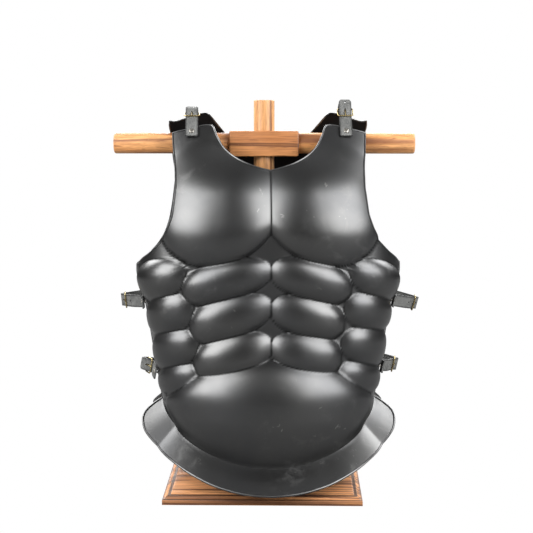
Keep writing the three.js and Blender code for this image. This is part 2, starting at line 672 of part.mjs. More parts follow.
function shoulderRoute({ side, across, slope, tongue, lean }) {
  const place = (y, z) => new THREE.Vector2(y, z);
  const depthAt = (plate, level) => {
    const pointAt = (turn) => platePoint(plate, side * turn, level);
    return pointAt(lastTurn(SHOULDER_TURNS, (tried) => Math.abs(pointAt(tried).x) < across)).y;
  };
  const onPlate = (plate, level) => {
    const off = STRAP_STANDOFF + STRAP_THICK / 2 + SHOULDER_EXTRA;
    const step = 2;
    const fall = (depthAt(plate, level + step) - depthAt(plate, level - step)) / (2 * step);
    const normal = place(1, -fall).normalize().multiplyScalar(plate.facing);
    return place(depthAt(plate, level), level).addScaledVector(normal, off);
  };
  const run = place(Math.cos(radians(slope)), Math.sin(radians(slope)));
  const up = place(-run.y, run.x);
  const near = place(SHOULDER_BAR.y, SHOULDER_BAR.z);
  const hinge = near.clone().addScaledVector(run, BUCKLE_LENGTH);
  const free = place(Math.cos(radians(lean)), Math.sin(radians(lean)));
  const front = SHOULDER_FRONT_Z;
  const back = SHOULDER_BACK_Z;
  return {
    near,
    hinge,
    up,
    outside: place(0, 1),
    front: [
      onPlate(BREASTPLATE, front.end), onPlate(BREASTPLATE, front.rivet),
      onPlate(BREASTPLATE, front.leave),
      near.clone().addScaledVector(up, -TONGUE_UNDER),
      threading(near, hinge, up),
      hinge.clone().addScaledVector(up, TONGUE_OVER),
      hinge.clone().addScaledVector(up, TONGUE_OVER).addScaledVector(free, tongue),
    ],
    back: [
      onPlate(BACKPLATE, back.end), onPlate(BACKPLATE, back.rivet), onPlate(BACKPLATE, back.leave),
      place(onPlate(BACKPLATE, back.lift).x - back.ahead, FLAP_TOP + FLAP_CLEAR),
      hinge.clone().addScaledVector(run, EYE_INSET),
    ],
  };
}

// ---------------------------------------------------------------- assembly

const rivetHoles = { front: [], back: [] };

for (const strap of SIDE_STRAPS) {
  const outward = new THREE.Vector3(strap.side, 0, -strap.tilt).normalize();
  const edge = readTable(FRONT_SECTIONS, 'height', 'halfWidth', strap.height);
  const origin = new THREE.Vector3(strap.side * edge, 0, strap.height)
    .addScaledVector(outward, -edge);
  const frame = setFrame(origin, outward, new THREE.Vector3(0, 1, 0));
  addStrapSet(strap.name, frame, sideStrapRoute(strap), rivetHoles);
}

for (const strap of SHOULDER_STRAPS) {
  const origin = new THREE.Vector3(strap.side * strap.across, 0, 0);
  const frame = setFrame(origin, new THREE.Vector3(0, 1, 0), new THREE.Vector3(0, 0, 1));
  addStrapSet(strap.name, frame, shoulderRoute(strap), rivetHoles);
}

function plateGeometry(plate, holes) {
  return cut(sheetGeometry(plateGrid(plate), plate.facing), ...holes);
}

addPiece(cuirass, 'breastplate', plateGeometry(BREASTPLATE, rivetHoles.front), STEEL);
addPiece(cuirass, 'backplate', plateGeometry(BACKPLATE, rivetHoles.back), STEEL);

// ---------------------------------------------------------------- stand

// Square board with a moulded edge: half width and height round its profile.
const BASE_PROFILE = table('inset height', [
  [0, 0], [0, 7.5], [1.5, 9], [4, 9.4], [5.5, 10.6], [6.5, 12], [9, 13.2], [12, 13.4],
  [13.5, 14.2], [14.5, BASE_HEIGHT],
]);

function baseGeometry() {
  const half = BASE_SIDE / 2;
  const corner = Math.SQRT2;
  const outline = BASE_PROFILE.map(({ inset, height }) =>
    new THREE.Vector2((half - inset) * corner, height));
  const profile = [new THREE.Vector2(0, 0), ...outline, new THREE.Vector2(0, BASE_HEIGHT)];
  const geometry = new THREE.LatheGeometry(profile, 4);
  return geometry.rotateX(Math.PI / 2).rotateZ(Math.PI / 4);
}

function roundedRodProfile(radius, length, ease) {
  return [
    [0, 0], [radius - ease, 0], [radius, ease], [radius, length - ease],
    [radius - ease, length], [0, length],
  ].map(([r, h]) => new THREE.Vector2(r, h));
}

function postGeometry() {
  const foot = BASE_HEIGHT + GAP;
  const geometry = new THREE.LatheGeometry(roundedRodProfile(POST_RADIUS, POST_TOP - foot, 1), 20);
  return geometry.rotateX(Math.PI / 2).translate(0, 0, foot);
}

function blockGeometry() {
  const { length, depth, height, bevel } = BLOCK;
  const outline = new THREE.Shape();
  const x = length / 2 - bevel;
  const z = height / 2 - bevel;
  outline.moveTo(-x, -z);
  outline.lineTo(x, -z);
  outline.lineTo(x, z);
  outline.lineTo(-x, z);
  const body = new THREE.ExtrudeGeometry(outline, {
    depth: depth - 2 * bevel,
    bevelSize: bevel,
    bevelThickness: bevel,
    bevelSegments: 2,
  });
  body.translate(0, 0, -(depth - 2 * bevel) / 2).rotateX(Math.PI / 2);
  const hole = new THREE.CylinderGeometry(POST_RADIUS + GAP, POST_RADIUS + GAP, height * 2, 20);
  hole.rotateX(Math.PI / 2).rotateZ(Math.PI / 2);
  const sockets = [-1, 1].map((side) => rod(
    new THREE.Vector3(side * (length / 2 - TENON_LENGTH - GAP), 0, 0),
    new THREE.Vector3(side * length, 0, 0),
    TENON_RADIUS + 2 * GAP,
    20,
  ));
  return cut(body, hole, ...sockets).translate(0, 0, CROSSBAR_HEIGHT);
}

function armGeometry(side) {
  const start = BLOCK.length / 2 + GAP;
  const profile = [
    [0, start - TENON_LENGTH], [TENON_RADIUS, start - TENON_LENGTH], [TENON_RADIUS, start],
    [ARM_RADIUS, start], [ARM_RADIUS, ARM_REACH - ARM_END.length],
    [ARM_RADIUS - ARM_END.chamfer, ARM_REACH - ARM_END.chamfer],
    [ARM_RADIUS - ARM_END.length, ARM_REACH], [0, ARM_REACH],
  ].map(([r, h]) => new THREE.Vector2(r, h));
  const geometry = new THREE.LatheGeometry(profile, 20);
  return geometry.rotateZ(-side * Math.PI / 2).translate(0, 0, CROSSBAR_HEIGHT);
}

addPiece(pieces, 'stand_base', baseGeometry(), WOOD);
addPiece(pieces, 'stand_post', postGeometry(), WOOD);
addPiece(pieces, 'stand_crossbar_block', blockGeometry(), WOOD);
addPiece(pieces, 'stand_arm_right', armGeometry(-1), WOOD);
addPiece(pieces, 'stand_arm_left', armGeometry(1), WOOD);

export default pieces;
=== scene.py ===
"""Blackened-steel muscle cuirass hanging on a plain wooden T-stand.

The plates, straps and stand are worked out in millimetres from the same tables
as the CAD model, and turned into metres in the model's own frame at the end.
The chest faces -Y, +Z is up, and "right" and "left" are the wearer's.
"""
import math

import bpy
import numpy as np
from mathutils import Matrix, Vector
from mathutils.kdtree import KDTree


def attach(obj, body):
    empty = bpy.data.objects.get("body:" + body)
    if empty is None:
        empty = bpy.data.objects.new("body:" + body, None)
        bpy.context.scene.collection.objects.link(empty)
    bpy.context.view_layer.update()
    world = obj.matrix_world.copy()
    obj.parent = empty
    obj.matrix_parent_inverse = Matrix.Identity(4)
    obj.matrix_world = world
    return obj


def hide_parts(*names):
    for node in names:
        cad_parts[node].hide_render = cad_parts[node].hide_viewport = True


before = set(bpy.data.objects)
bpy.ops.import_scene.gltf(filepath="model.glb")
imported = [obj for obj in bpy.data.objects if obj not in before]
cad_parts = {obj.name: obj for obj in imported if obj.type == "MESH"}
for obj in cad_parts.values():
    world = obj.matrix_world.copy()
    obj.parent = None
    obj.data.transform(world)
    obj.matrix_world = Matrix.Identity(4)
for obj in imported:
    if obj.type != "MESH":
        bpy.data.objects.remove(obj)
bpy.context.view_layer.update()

# ---------------------------------------------------------------- sizes, in mm

SHEET = 1.2                  # thickness of the steel sheet
ROLL_RADIUS = 1.5            # edge rolled over round the plates
RIM_RADIUS = 1.9             # the same along the flange
RIM_INSET = 0.8              # how far the visible rim stays inside the solid one
RUBBED_REACH = 4             # how far in from an edge the steel is rubbed

BASE_SIDE = 315
BASE_HEIGHT = 15
POST_RADIUS = 16.8
POST_TOP = 631
POST_FOOT = 15.3             # clear of the board's top
CROSSBAR_HEIGHT = 561        # axis of the two arms
ARM_RADIUS = 16.9
ARM_START = 56.3             # clear of the block's end
ARM_REACH = 245              # from the post's axis to an arm's end
BLOCK_SIZE = (112, 46, 41)
BLOCK_HOLE = 17.1            # radius of the hole that the post goes through

HANG_TURN = 3                # the cuirass hangs turned this many degrees
HANG_OFFSET = (7, 0, 14)     # and this far from the stand's origin

STRAP_WIDTH = 20
STRAP_THICK = 2.5
STRAP_STANDOFF = 2.0         # from the steel to a riveted strap
STRAP_EASE = 1.1             # room round a strap where it threads its buckle
STRAP_TIP = dict(narrow=0.72, wider=0.28, length=4.0)
STRAP_EDGE = dict(dark=0.6, bevel=0.45)
BAR_RADIUS = 1.2             # wire of a buckle frame
BUCKLE_LENGTH = 17           # from one cross bar to the other
BUCKLE_WIDTH = 24            # between the axes of the two side bars
BUCKLE_CORNER = 3.0          # radius of a buckle frame's corner
EYE_WALL = 2                 # leather folded round a buckle's hinge bar
EYE_BORE = 1.75              # hole in that fold
EYE_EASE = 0.25              # room between the fold and its bar
PRONG = dict(radius=0.85, ring=0.95, over=0.75, past=2.8)
PRONG_SLOT = (9.0, 3.6)      # length and width of the hole that the prong goes through
PUNCHED_HOLE = (3.2, 3.2)
WAIST_HOLE = (3.0, 3.0)
RIVET_HEAD = 4.2
RIVET_SHANK = 1.5

MM = 0.001
HANG_SPIN = Matrix.Rotation(math.radians(HANG_TURN), 4, "Z")
HANG = Matrix.Translation(Vector(HANG_OFFSET) * MM) @ HANG_SPIN

# ---------------------------------------------------------------- plate tables


def table(columns, rows):
    """Named columns of numbers."""
    names = columns.split()
    return {name: np.array([row[i] for row in rows], float) for i, name in enumerate(names)}


FRONT_SECTIONS = table("height half_width depth square", [
    (0, 172, 126, 0.01), (55, 172, 129, 0.01), (120, 176, 137, 0.01), (200, 188, 133, 0.02),
    (290, 203, 127, 0.03), (342, 216, 127, 0.03), (400, 211, 124, 0.03), (470, 203, 108, 0.03),
    (520, 197, 84, 0.03), (576, 190, 40, 0.03), (620, 186, 5, 0.03),
])
BACK_SECTIONS = table("height half_width depth square", [
    (0, 172, 122, 0.03), (55, 172, 122, 0.03), (120, 174, 118, 0.03), (200, 184, 108, 0.03),
    (290, 200, 108, 0.03), (342, 212, 116, 0.03), (400, 210, 124, 0.03), (470, 203, 122, 0.03),
    (505, 198, 104, 0.03), (528, 195, 78, 0.03), (547, 191, 52, 0.03), (559, 189, 39, 0.03),
    (571, 188, 27, 0.03), (583, 187, 16, 0.03), (600, 186, 3, 0.03),
])

# Where the sheet stops at the side, in degrees round from the middle.
FRONT_SIDE = table("height turn", [
    (40, 88), (350, 88), (356, 77), (364, 70), (375, 61), (390, 53.5), (405, 47.8), (420, 44.2),
    (445, 42), (475, 42.2), (500, 44.2), (530, 47.7), (566, 51), (590, 53),
])
BACK_SIDE = table("height turn", [
    (40, 88), (345, 88), (352, 76), (362, 67), (376, 58), (396, 51), (420, 47.5), (450, 46.5),
    (485, 47), (520, 50), (560, 54), (576, 56.5), (600, 57),
])

# Top edge, bottom edge and flange, from the middle (0) to the side (1).
FRONT_TOP = table("across height", [
    (0, 508.5), (0.1, 513), (0.19, 518.5), (0.27, 525), (0.35, 534), (0.42, 546), (0.47, 562),
    (0.505, 578), (0.55, 578.5), (0.75, 573), (1, 566),
])
BACK_TOP = table("across height", [
    (0, 526), (0.2, 529), (0.3, 540), (0.36, 560), (0.44, 582), (0.53, 597), (0.62, 595),
    (0.8, 587), (0.93, 583), (1, 584),
])
FRONT_BOTTOM = table("across height", [
    (0, 42), (0.1, 43.5), (0.25, 52), (0.4, 66), (0.55, 81), (0.7, 95), (0.82, 107), (0.92, 117),
    (1, 126),
])
BACK_BOTTOM = table("across height", [
    (0, 62), (0.3, 68), (0.5, 84), (0.7, 112), (0.85, 126), (1, 132),
])
FRONT_FLANGE = table("across width drop", [
    (0, 56, 36), (0.1, 55.5, 36), (0.25, 53, 38), (0.4, 49, 41), (0.55, 46, 43), (0.7, 47, 41),
    (0.82, 48, 36), (0.91, 44, 31), (0.96, 36, 28), (0.985, 20, 27), (1, 6, 27),
])
BACK_FLANGE = table("across width drop", [
    (0, 46, 35), (0.5, 44, 35), (0.75, 42, 35), (0.85, 33, 35), (0.92, 20, 35), (0.97, 9, 35),
    (1, 4, 35),
])

# Muscles: each fills a patch from the inner to the outer turn, between a low
# and a high line given at both ends and bowed in the middle. Neighbours overlap,
# so they meet in a crease. ridge and crown are how far across and up each is fullest.
SWELL_COLUMNS = (
    "side inner outer inner_low inner_high outer_low outer_high bow_low bow_high rise "
    "ridge crown soft_low soft_high"
)
FRONT_SWELLS = table(SWELL_COLUMNS, [
    # chest
    (-1, -4, 58, 398, 560, 398, 550, 40, 0, 22, 0.39, 0.38, 0.7, 1.8),
    (+1, -4, 58, 398, 560, 398, 550, 40, 0, 22, 0.39, 0.38, 0.7, 1.8),
    # the wearer's right column of the belly, top to bottom
    (-1, -0.3, 38.0, 323, 382, 286, 347, 1, 4, 15, 0.5, 0.5, 0.75, 0.8),
    (-1, -0.3, 37.2, 263, 329, 225, 291, 1, 3, 15, 0.5, 0.5, 0.75, 0.8),
    (-1, -0.3, 38.2, 201, 269, 166, 231, 4, 3, 15, 0.5, 0.5, 0.75, 0.8),
    # the wearer's left column
    (+1, -0.3, 33.8, 319, 383, 289, 349, 1, 4, 15, 0.5, 0.5, 0.75, 0.8),
    (+1, -0.3, 33.2, 258, 325, 235, 294, 1, 3, 15, 0.5, 0.5, 0.75, 0.8),
    (+1, -0.3, 34.0, 200, 264, 176, 241, 4, 3, 15, 0.5, 0.5, 0.75, 0.8),
    # ribs and flank, the wearer's right
    (-1, 34.6, 80, 317, 374, 282, 352, 2, 2, 13, 0.42, 0.5, 0.75, 0.8),
    (-1, 33.0, 80, 260, 323, 230, 288, 2, 2, 13, 0.42, 0.5, 0.75, 0.8),
    (-1, 33.0, 80, 207, 266, 170, 236, 2, 2, 13, 0.42, 0.5, 0.75, 0.8),
    (-1, 34.4, 80, 154, 212, 132, 177, 2, 2, 13, 0.42, 0.5, 0.75, 0.8),
    # ribs and flank, the wearer's left
    (+1, 31.6, 80, 319, 378, 282, 340, 2, 2, 13, 0.42, 0.5, 0.75, 0.8),
    (+1, 31.2, 80, 261, 324, 238, 288, 2, 2, 13, 0.42, 0.5, 0.75, 0.8),
    (+1, 32.0, 80, 208, 267, 175, 245, 2, 2, 13, 0.42, 0.5, 0.75, 0.8),
    (+1, 31.4, 80, 153, 214, 136, 181, 2, 2, 13, 0.42, 0.5, 0.75, 0.8),
    # lower belly
    (0, -74, 74, 125, 128, 125, 128, 150, 84, 28, 0.5, 0.69, 1.2, 0.8),
])
BACK_SWELLS = table(SWELL_COLUMNS, [
    (-1, 2, 62, 350, 520, 330, 500, 0, 0, 9, 0.5, 0.5, 2.0, 2.0),
    (+1, 2, 62, 350, 520, 330, 500, 0, 0, 9, 0.5, 0.5, 2.0, 2.0),
    (-1, 2, 60, 120, 330, 150, 320, 0, 0, 6, 0.5, 0.5, 2.0, 2.0),
    (+1, 2, 60, 120, 330, 150, 320, 0, 0, 6, 0.5, 0.5, 2.0, 2.0),
])
PATCH_SQUARENESS = 2.4       # 2 would be an oval patch
SWELL_FLATNESS = 2.4         # how much of a swell is nearly as high as its peak

# The painted shade along a crease: its half width, the slope that it needs, and
# the places round a point where its height is compared.
CREASE_SHADE_REACH = 3.4
CREASE_SHADE_SLOPE = 0.32
CREASE_SHADE_FLOOR = 0.1
CREASE_SHADE_PROBES = [
    (1, 0), (0.7, 0.7), (0, 1), (-0.7, 0.7), (-1, 0), (-0.7, -0.7), (0, -1), (0.7, -0.7),
]

BREASTPLATE = {
    "facing": -1, "sections": FRONT_SECTIONS, "side": FRONT_SIDE, "top": FRONT_TOP,
    "bottom": FRONT_BOTTOM, "flange": FRONT_FLANGE, "swells": FRONT_SWELLS,
    "columns": 208, "rows": 188, "flange_rows": 14,
}
BACKPLATE = {
    "facing": +1, "sections": BACK_SECTIONS, "side": BACK_SIDE, "top": BACK_TOP,
    "bottom": BACK_BOTTOM, "flange": BACK_FLANGE, "swells": BACK_SWELLS,
    "columns": 120, "rows": 110, "flange_rows": 10,
}

# ---------------------------------------------------------------- strap tables

# reach is how far the buckle's near bar stands out from the shell, and splay how
# much further the hinge bar does. tilt is the strap's slope, and tongue its free end.
SIDE_STRAPS = [
    dict(name="side_upper_right", side=-1, height=291, reach=33, splay=1, tilt=0.10, tongue=9),
    dict(name="side_upper_left", side=+1, height=291, reach=41, splay=1, tilt=0.26, tongue=9),
    dict(name="side_lower_right", side=-1, height=174, reach=12, splay=8, tilt=-0.2, tongue=10),
    dict(name="side_lower_left", side=+1, height=182, reach=25, splay=2, tilt=0.22, tongue=9),
]
# slope is the buckle's angle, and lean its free end's.
SHOULDER_STRAPS = [
    dict(name="shoulder_right", side=-1, across=124, slope=14, tongue=9, lean=22),
    dict(name="shoulder_left", side=+1, across=123, slope=40, tongue=11, lean=60),
]
SIDE_TURNS = np.linspace(20, 88, 1361)       # where a side strap may meet a plate
SIDE_BAR_Y = 5                               # where a side buckle's near bar is
SIDE_FRONT_Y = dict(riveted=(-40, -32, -24), lift=-10, bow=0.55)
SIDE_BACK_Y = dict(riveted=(66, 57, 48), tuck=38, inset=6, bow=0.45, clear=3.5)
SIDE_TIP_DROP = 1                            # a side tongue's tip dips by this much
SHOULDER_TURNS = np.linspace(5, 70, 1301)    # where a shoulder strap may meet a plate
SHOULDER_BAR = (-30, 592)                    # a shoulder buckle's near bar: y and height
SHOULDER_EXTRA = 1                           # a shoulder strap's further standoff
SHOULDER_FRONT_Z = (558, 565, 571)
SHOULDER_BACK_Z = dict(riveted=(561, 568, 576), leave=588, ahead=3)
SLOPE_STEP = 2                               # for reading a plate's slope
FLAP_TOP = 591
FLAP_CLEAR = 5
THREADING = dict(along=0.55, up=0.45)        # between the buckle's bars
TONGUE_UNDER = BAR_RADIUS + STRAP_EASE + STRAP_THICK / 2
TONGUE_OVER = EYE_BORE + EYE_WALL + STRAP_EASE + STRAP_THICK / 2

# ---------------------------------------------------------------- the plates' shape


def read_table(rows, key, column, at):
    """Reads a table with a smooth curve that never overshoots."""
    keys, values = rows[key], rows[column]
    at = np.clip(at, keys[0], keys[-1])
    slope = np.diff(values) / np.diff(keys)
    before, after = slope[:-1], slope[1:]
    total = np.where(before * after > 0, before + after, 1)
    inner = np.where(before * after > 0, 2 * before * after / total, 0)
    tangent = np.concatenate([slope[:1], inner, slope[-1:]])
    i = np.searchsorted(keys[1:-1], at, side="left")
    span = keys[i + 1] - keys[i]
    t = (at - keys[i]) / span
    rest = 1 - t
    return (
        values[i] * (1 + 2 * t) * rest**2
        + values[i + 1] * t**2 * (3 - 2 * t)
        + tangent[i] * span * t * rest**2
        - tangent[i + 1] * span * t**2 * rest
    )


def shell_point(plate, turn, height):
    width = read_table(plate["sections"], "height", "half_width", height)
    depth = read_table(plate["sections"], "height", "depth", height)
    angle = np.radians(turn)
    k = read_table(plate["sections"], "height", "square", height)
    x = width * ((1 + k) * np.sin(angle) + k * np.sin(3 * angle))
    y = plate["facing"] * depth * ((1 + k) * np.cos(angle) - k * np.cos(3 * angle))
    return np.stack([x, y, height + 0 * x], axis=-1)


def shell_outward(plate, turn, height):
    along = shell_point(plate, turn + 0.5, height) - shell_point(plate, turn - 0.5, height)
    outward = np.stack([along[..., 1], -along[..., 0], 0 * along[..., 0]], axis=-1)
    outward /= np.linalg.norm(outward, axis=-1, keepdims=True)
    wrong = outward[..., 1] * plate["facing"] < 0
    return np.where(wrong[..., None], -outward, outward)


def mix(start, end, t):
    return start + (end - start) * t


def from_peak(t, peak):
    """0 at the peak, and 1 at both ends of the stretch from 0 to 1."""
    return np.clip(np.where(t < peak, 1 - t / peak, (t - peak) / (1 - peak)), 0, 1)


def relief(plate, turn, height):
    """How far the muscles stand out of the shell."""
    swells = plate["swells"]
    heights = []
    for i in range(len(swells["side"])):
        swell = {name: column[i] for name, column in swells.items()}
        s = (np.abs(turn) - swell["inner"]) / (swell["outer"] - swell["inner"])
        bow = 4 * s * (1 - s)
        low = mix(swell["inner_low"], swell["outer_low"], s) - swell["bow_low"] * bow
        high = mix(swell["inner_high"], swell["outer_high"], s) + swell["bow_high"] * bow
        t = (height - low) / (high - low)
        inside = (turn * swell["side"] >= 0) & (s > 0) & (s < 1) & (t > 0) & (t < 1)
        n = PATCH_SQUARENESS
        away = (from_peak(s, swell["ridge"]) ** n + from_peak(t, swell["crown"]) ** n) ** (1 / n)
        inside &= away < 1
        away = np.where(inside, away, 0)
        rising = np.clip(t, 0, 1)
        soft = mix(swell["soft_low"], swell["soft_high"], rising**2 * (3 - 2 * rising))
        heights.append(np.where(inside, swell["rise"] * (1 - away**SWELL_FLATNESS) ** soft, 0))
    return np.max(heights, axis=0)


def crease_shade_mask(plate, turn, height):
    """How much painted shade a point gets: 1 along the sharp valleys between muscles, 0 away from
    them.
    """
    reach = CREASE_SHADE_REACH
    step = np.degrees(reach / read_table(plate["sections"], "height", "half_width", height))
    around = sum(
        relief(plate, turn + step * aside, height + reach * above)
        for aside, above in CREASE_SHADE_PROBES
    ) / len(CREASE_SHADE_PROBES)
    sunk = around - relief(plate, turn, height)
    return np.clip(sunk / (CREASE_SHADE_SLOPE * reach) - CREASE_SHADE_FLOOR, 0, 1)


def plate_point(plate, turn, height):
    outward = shell_outward(plate, turn, height)
    return shell_point(plate, turn, height) + outward * relief(plate, turn, height)[..., None]


def plate_surface(plate, across, climb):
    """Points of a plate, and how much painted crease shade each gets. across runs from -1 to 1.
    climb runs from 0 at the shell's bottom edge to 1 at its top edge, and from 0
    down to -1 at the flange's rim."""
    beyond = np.abs(across)
    bottom = read_table(plate["bottom"], "across", "height", beyond)
    top = read_table(plate["top"], "across", "height", beyond) - ROLL_RADIUS
    height = bottom + (top - bottom) * np.maximum(climb, 0)
    side = read_table(plate["side"], "height", "turn", height)
    width = read_table(plate["sections"], "height", "half_width", height)
    turn = across * (side - np.degrees(ROLL_RADIUS / width))
    points = plate_point(plate, turn, height)
    flange = read_table(plate["flange"], "across", "width", beyond) - RIM_RADIUS - RIM_INSET
    out = np.maximum(-climb, 0) * flange
    drop = np.radians(read_table(plate["flange"], "across", "drop", beyond))
    points = points + shell_outward(plate, turn, height) * (out * np.cos(drop))[..., None]
    points[..., 2] -= out * np.sin(drop)
    return points, crease_shade_mask(plate, turn, height) * (climb >= 0)


# ---------------------------------------------------------------- modelling helpers


def deselect():
    if bpy.context.object is not None and bpy.context.object.mode != "OBJECT":
        bpy.ops.object.mode_set(mode="OBJECT")
    bpy.ops.object.select_all(action="DESELECT")


def pick(piece):
    deselect()
    piece.select_set(True)
    bpy.context.view_layer.objects.active = piece


def apply_modifier(piece, kind, **settings):
    pick(piece)
    modifier = piece.modifiers.new(kind.title(), kind)
    for name, value in settings.items():
        setattr(modifier, name, value)
    bpy.ops.object.modifier_apply(modifier=modifier.name)


def smooth_shade(piece, angle=35):
    pick(piece)
    bpy.ops.object.shade_smooth_by_angle(angle=math.radians(angle))


def face_outwards(piece):
    pick(piece)
    bpy.ops.object.mode_set(mode="EDIT")
    bpy.ops.mesh.select_all(action="SELECT")
    bpy.ops.mesh.remove_doubles(threshold=1e-6)
    bpy.ops.mesh.normals_make_consistent(inside=False)
    bpy.ops.object.mode_set(mode="OBJECT")


def flat_grid(name, columns, rows):
    """A flat square of cells from (-1, -1) to (1, 1), ready to be shaped."""
    deselect()
    bpy.ops.mesh.primitive_grid_add(x_subdivisions=columns, y_subdivisions=rows, size=2)
    piece = bpy.context.object
    piece.name = name
    piece.data.name = name
    return piece


def points_of(piece):
    points = np.empty(len(piece.data.vertices) * 3)
    piece.data.vertices.foreach_get("co", points)
    return points.reshape(-1, 3)


def move_points(piece, points):
    piece.data.vertices.foreach_set("co", np.ascontiguousarray(points, float).ravel())
    piece.data.update()


def in_place(points, placing=HANG):
    """Turns millimetres in a set's or plate's own frame into metres on the stand."""
    turn = np.array(placing.to_3x3())
    return (points * MM) @ turn.T + np.array(placing.translation)


def join_pieces(main, *others):
    deselect()
    for piece in (main, *others):
        piece.select_set(True)
    bpy.context.view_layer.objects.active = main
    bpy.ops.object.join()
    return main


def bent_wire(name, points, radii, closed=False, sides=3):
    """A round wire through points in metres, its radii in millimetres."""
    deselect()
    curve = bpy.data.curves.new(name, "CURVE")
    curve.dimensions = "3D"
    curve.fill_mode = "FULL"
    curve.bevel_depth = MM
    curve.bevel_resolution = sides - 1
    curve.use_fill_caps = not closed
    spline = curve.splines.new("POLY")
    spline.points.add(len(points) - 1)
    for point, place, radius in zip(spline.points, points, radii):
        point.co = (*place, 1)
        point.radius = radius
    spline.use_cyclic_u = closed
    wire = bpy.data.objects.new(name, curve)
    bpy.context.collection.objects.link(wire)
    pick(wire)
    bpy.ops.object.convert(target="MESH")
    wire = bpy.context.object
    face_outwards(wire)
    return wire


def turned(name, profile, sides, start_turn=0.0):
    """A solid raised from a flat face: each row of the profile is a radius and a height."""
    deselect()
    radius, height = profile[0]
    bpy.ops.mesh.primitive_circle_add(
        vertices=sides, radius=radius * MM, fill_type="NGON", location=(0, 0, height * MM),
        rotation=(0, 0, start_turn),
    )
    piece = bpy.context.object
    piece.name = name
    piece.data.name = name
    bpy.ops.object.transform_apply(location=True, rotation=True, scale=True)
    bpy.ops.object.mode_set(mode="EDIT")
    bpy.ops.mesh.select_all(action="SELECT")
    for wider, higher in profile[1:]:
        bpy.ops.mesh.extrude_region_move(
            TRANSFORM_OT_translate={"value": (0, 0, (higher - height) * MM)}
        )
        if wider != radius:
            factor = wider / radius
            bpy.ops.transform.resize(value=(factor, factor, 1), center_override=(0, 0, higher * MM))
        radius, height = wider, higher
    bpy.ops.object.mode_set(mode="OBJECT")
    face_outwards(piece)
    return piece


def copy_of(piece, name):
    twin = piece.copy()
    twin.data = piece.data.copy()
    twin.name = name
    twin.data.name = name
    bpy.context.collection.objects.link(twin)
    return twin


def dress(piece, material, slot, *nodes):
    """Gives a finished piece its material and ties it to the frame."""
    if material is not None:
        piece.data.materials.clear()
        piece.data.materials.append(material)
    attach(piece, "root")
    if nodes:
        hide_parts(*nodes)


# ---------------------------------------------------------------- shader helpers


def add_node(tree, kind, inputs=None, **settings):
    node = tree.nodes.new(kind)
    for name, value in settings.items():
        setattr(node, name, value)
    for name, value in (inputs or {}).items():
        if isinstance(value, bpy.types.NodeSocket):
            tree.links.new(value, node.inputs[name])
        else:
            node.inputs[name].default_value = value
    return node


def noise(tree, place, scale, detail=2.0, roughness=0.5, distortion=0.0):
    return add_node(tree, "ShaderNodeTexNoise", {
        "Vector": place, "Scale": scale, "Detail": detail, "Roughness": roughness,
        "Distortion": distortion,
    }).outputs["Fac"]


def spread(tree, value, low, high, to_low=0.0, to_high=1.0):
    return add_node(tree, "ShaderNodeMapRange", {
        "Value": value, "From Min": low, "From Max": high, "To Min": to_low, "To Max": to_high,
    }, interpolation_type="SMOOTHSTEP").outputs["Result"]


def maths(tree, operation, first, second=0.0):
    return add_node(tree, "ShaderNodeMath", {0: first, 1: second}, operation=operation).outputs[0]


def mix_colour(tree, amount, first, second, blend="MIX"):
    node = add_node(tree, "ShaderNodeMix", data_type="RGBA", blend_type=blend)
    sockets = node.inputs[0], node.inputs[6], node.inputs[7]
    for socket, value in zip(sockets, (amount, first, second)):
        if isinstance(value, bpy.types.NodeSocket):
            tree.links.new(value, socket)
        else:
            socket.default_value = value
    return node.outputs[2]


def start_group(name, inputs, outputs):
    group = bpy.data.node_groups.new(name, "ShaderNodeTree")
    for label, kind, value in inputs:
        socket = group.interface.new_socket(name=label, in_out="INPUT", socket_type=kind)
        if value is not None:
            socket.default_value = value
    for label, kind in outputs:
        group.interface.new_socket(name=label, in_out="OUTPUT", socket_type=kind)
    given = group.nodes.new("NodeGroupInput").outputs
    return group, given


def end_group(group, **results):
    outlet = group.nodes.new("NodeGroupOutput")
    for label, socket in results.items():
        group.links.new(socket, outlet.inputs[label.replace("_", " ")])
    return group


def place_group(tree, group, inputs):
    node = tree.nodes.new("ShaderNodeGroup")
    node.node_tree = group
    for name, value in inputs.items():
        if isinstance(value, bpy.types.NodeSocket):
            tree.links.new(value, node.inputs[name])
        else:
            node.inputs[name].default_value = value
    return node.outputs


def start_material(name):
    material = bpy.data.materials.new(name)
    material.use_nodes = True
    tree = material.node_tree
    tree.nodes.clear()
    place = add_node(tree, "ShaderNodeTexCoord").outputs["Object"]
    return material, tree, place


def end_material(tree, **sockets):
    shader = add_node(tree, "ShaderNodeBsdfPrincipled", {
        name.replace("_", " "): value for name, value in sockets.items()
    })
    add_node(tree, "ShaderNodeOutputMaterial", {"Surface": shader.outputs["BSDF"]})


def bump(tree, height, strength, distance):
    return add_node(tree, "ShaderNodeBump", {
        "Height": height, "Strength": strength, "Distance": distance,
    }).outputs["Normal"]


FLOAT, COLOUR, VECTOR = "NodeSocketFloat", "NodeSocketColor", "NodeSocketVector"

# ---------------------------------------------------------------- shared effects


def make_handling():
    """Smudges left by hands and small bright scuffs."""
    group, given = start_group("handling_marks", [
        ("Vector", VECTOR, None), ("Smudge Scale", FLOAT, 9.0), ("Scuff Scale", FLOAT, 60.0),
        ("Scuff Amount", FLOAT, 0.5),
    ], [("Smudge", FLOAT), ("Scuff", FLOAT)])
    broad = noise(group, given["Vector"], given["Smudge Scale"], 3.0, 0.55, 0.4)
    smudge = spread(group, broad, 0.32, 0.68)
    specks = noise(group, given["Vector"], given["Scuff Scale"], 4.0, 0.62, 1.2)
    speck_mask = spread(group, specks, 0.66, 0.72)
    patches = spread(group, noise(group, given["Vector"], 7.0, 1.0), 0.48, 0.62)
    scuffed = maths(group, "MULTIPLY", speck_mask, patches)
    scuff = maths(group, "MULTIPLY", scuffed, given["Scuff Amount"])
    return end_group(group, Smudge=smudge, Scuff=scuff)


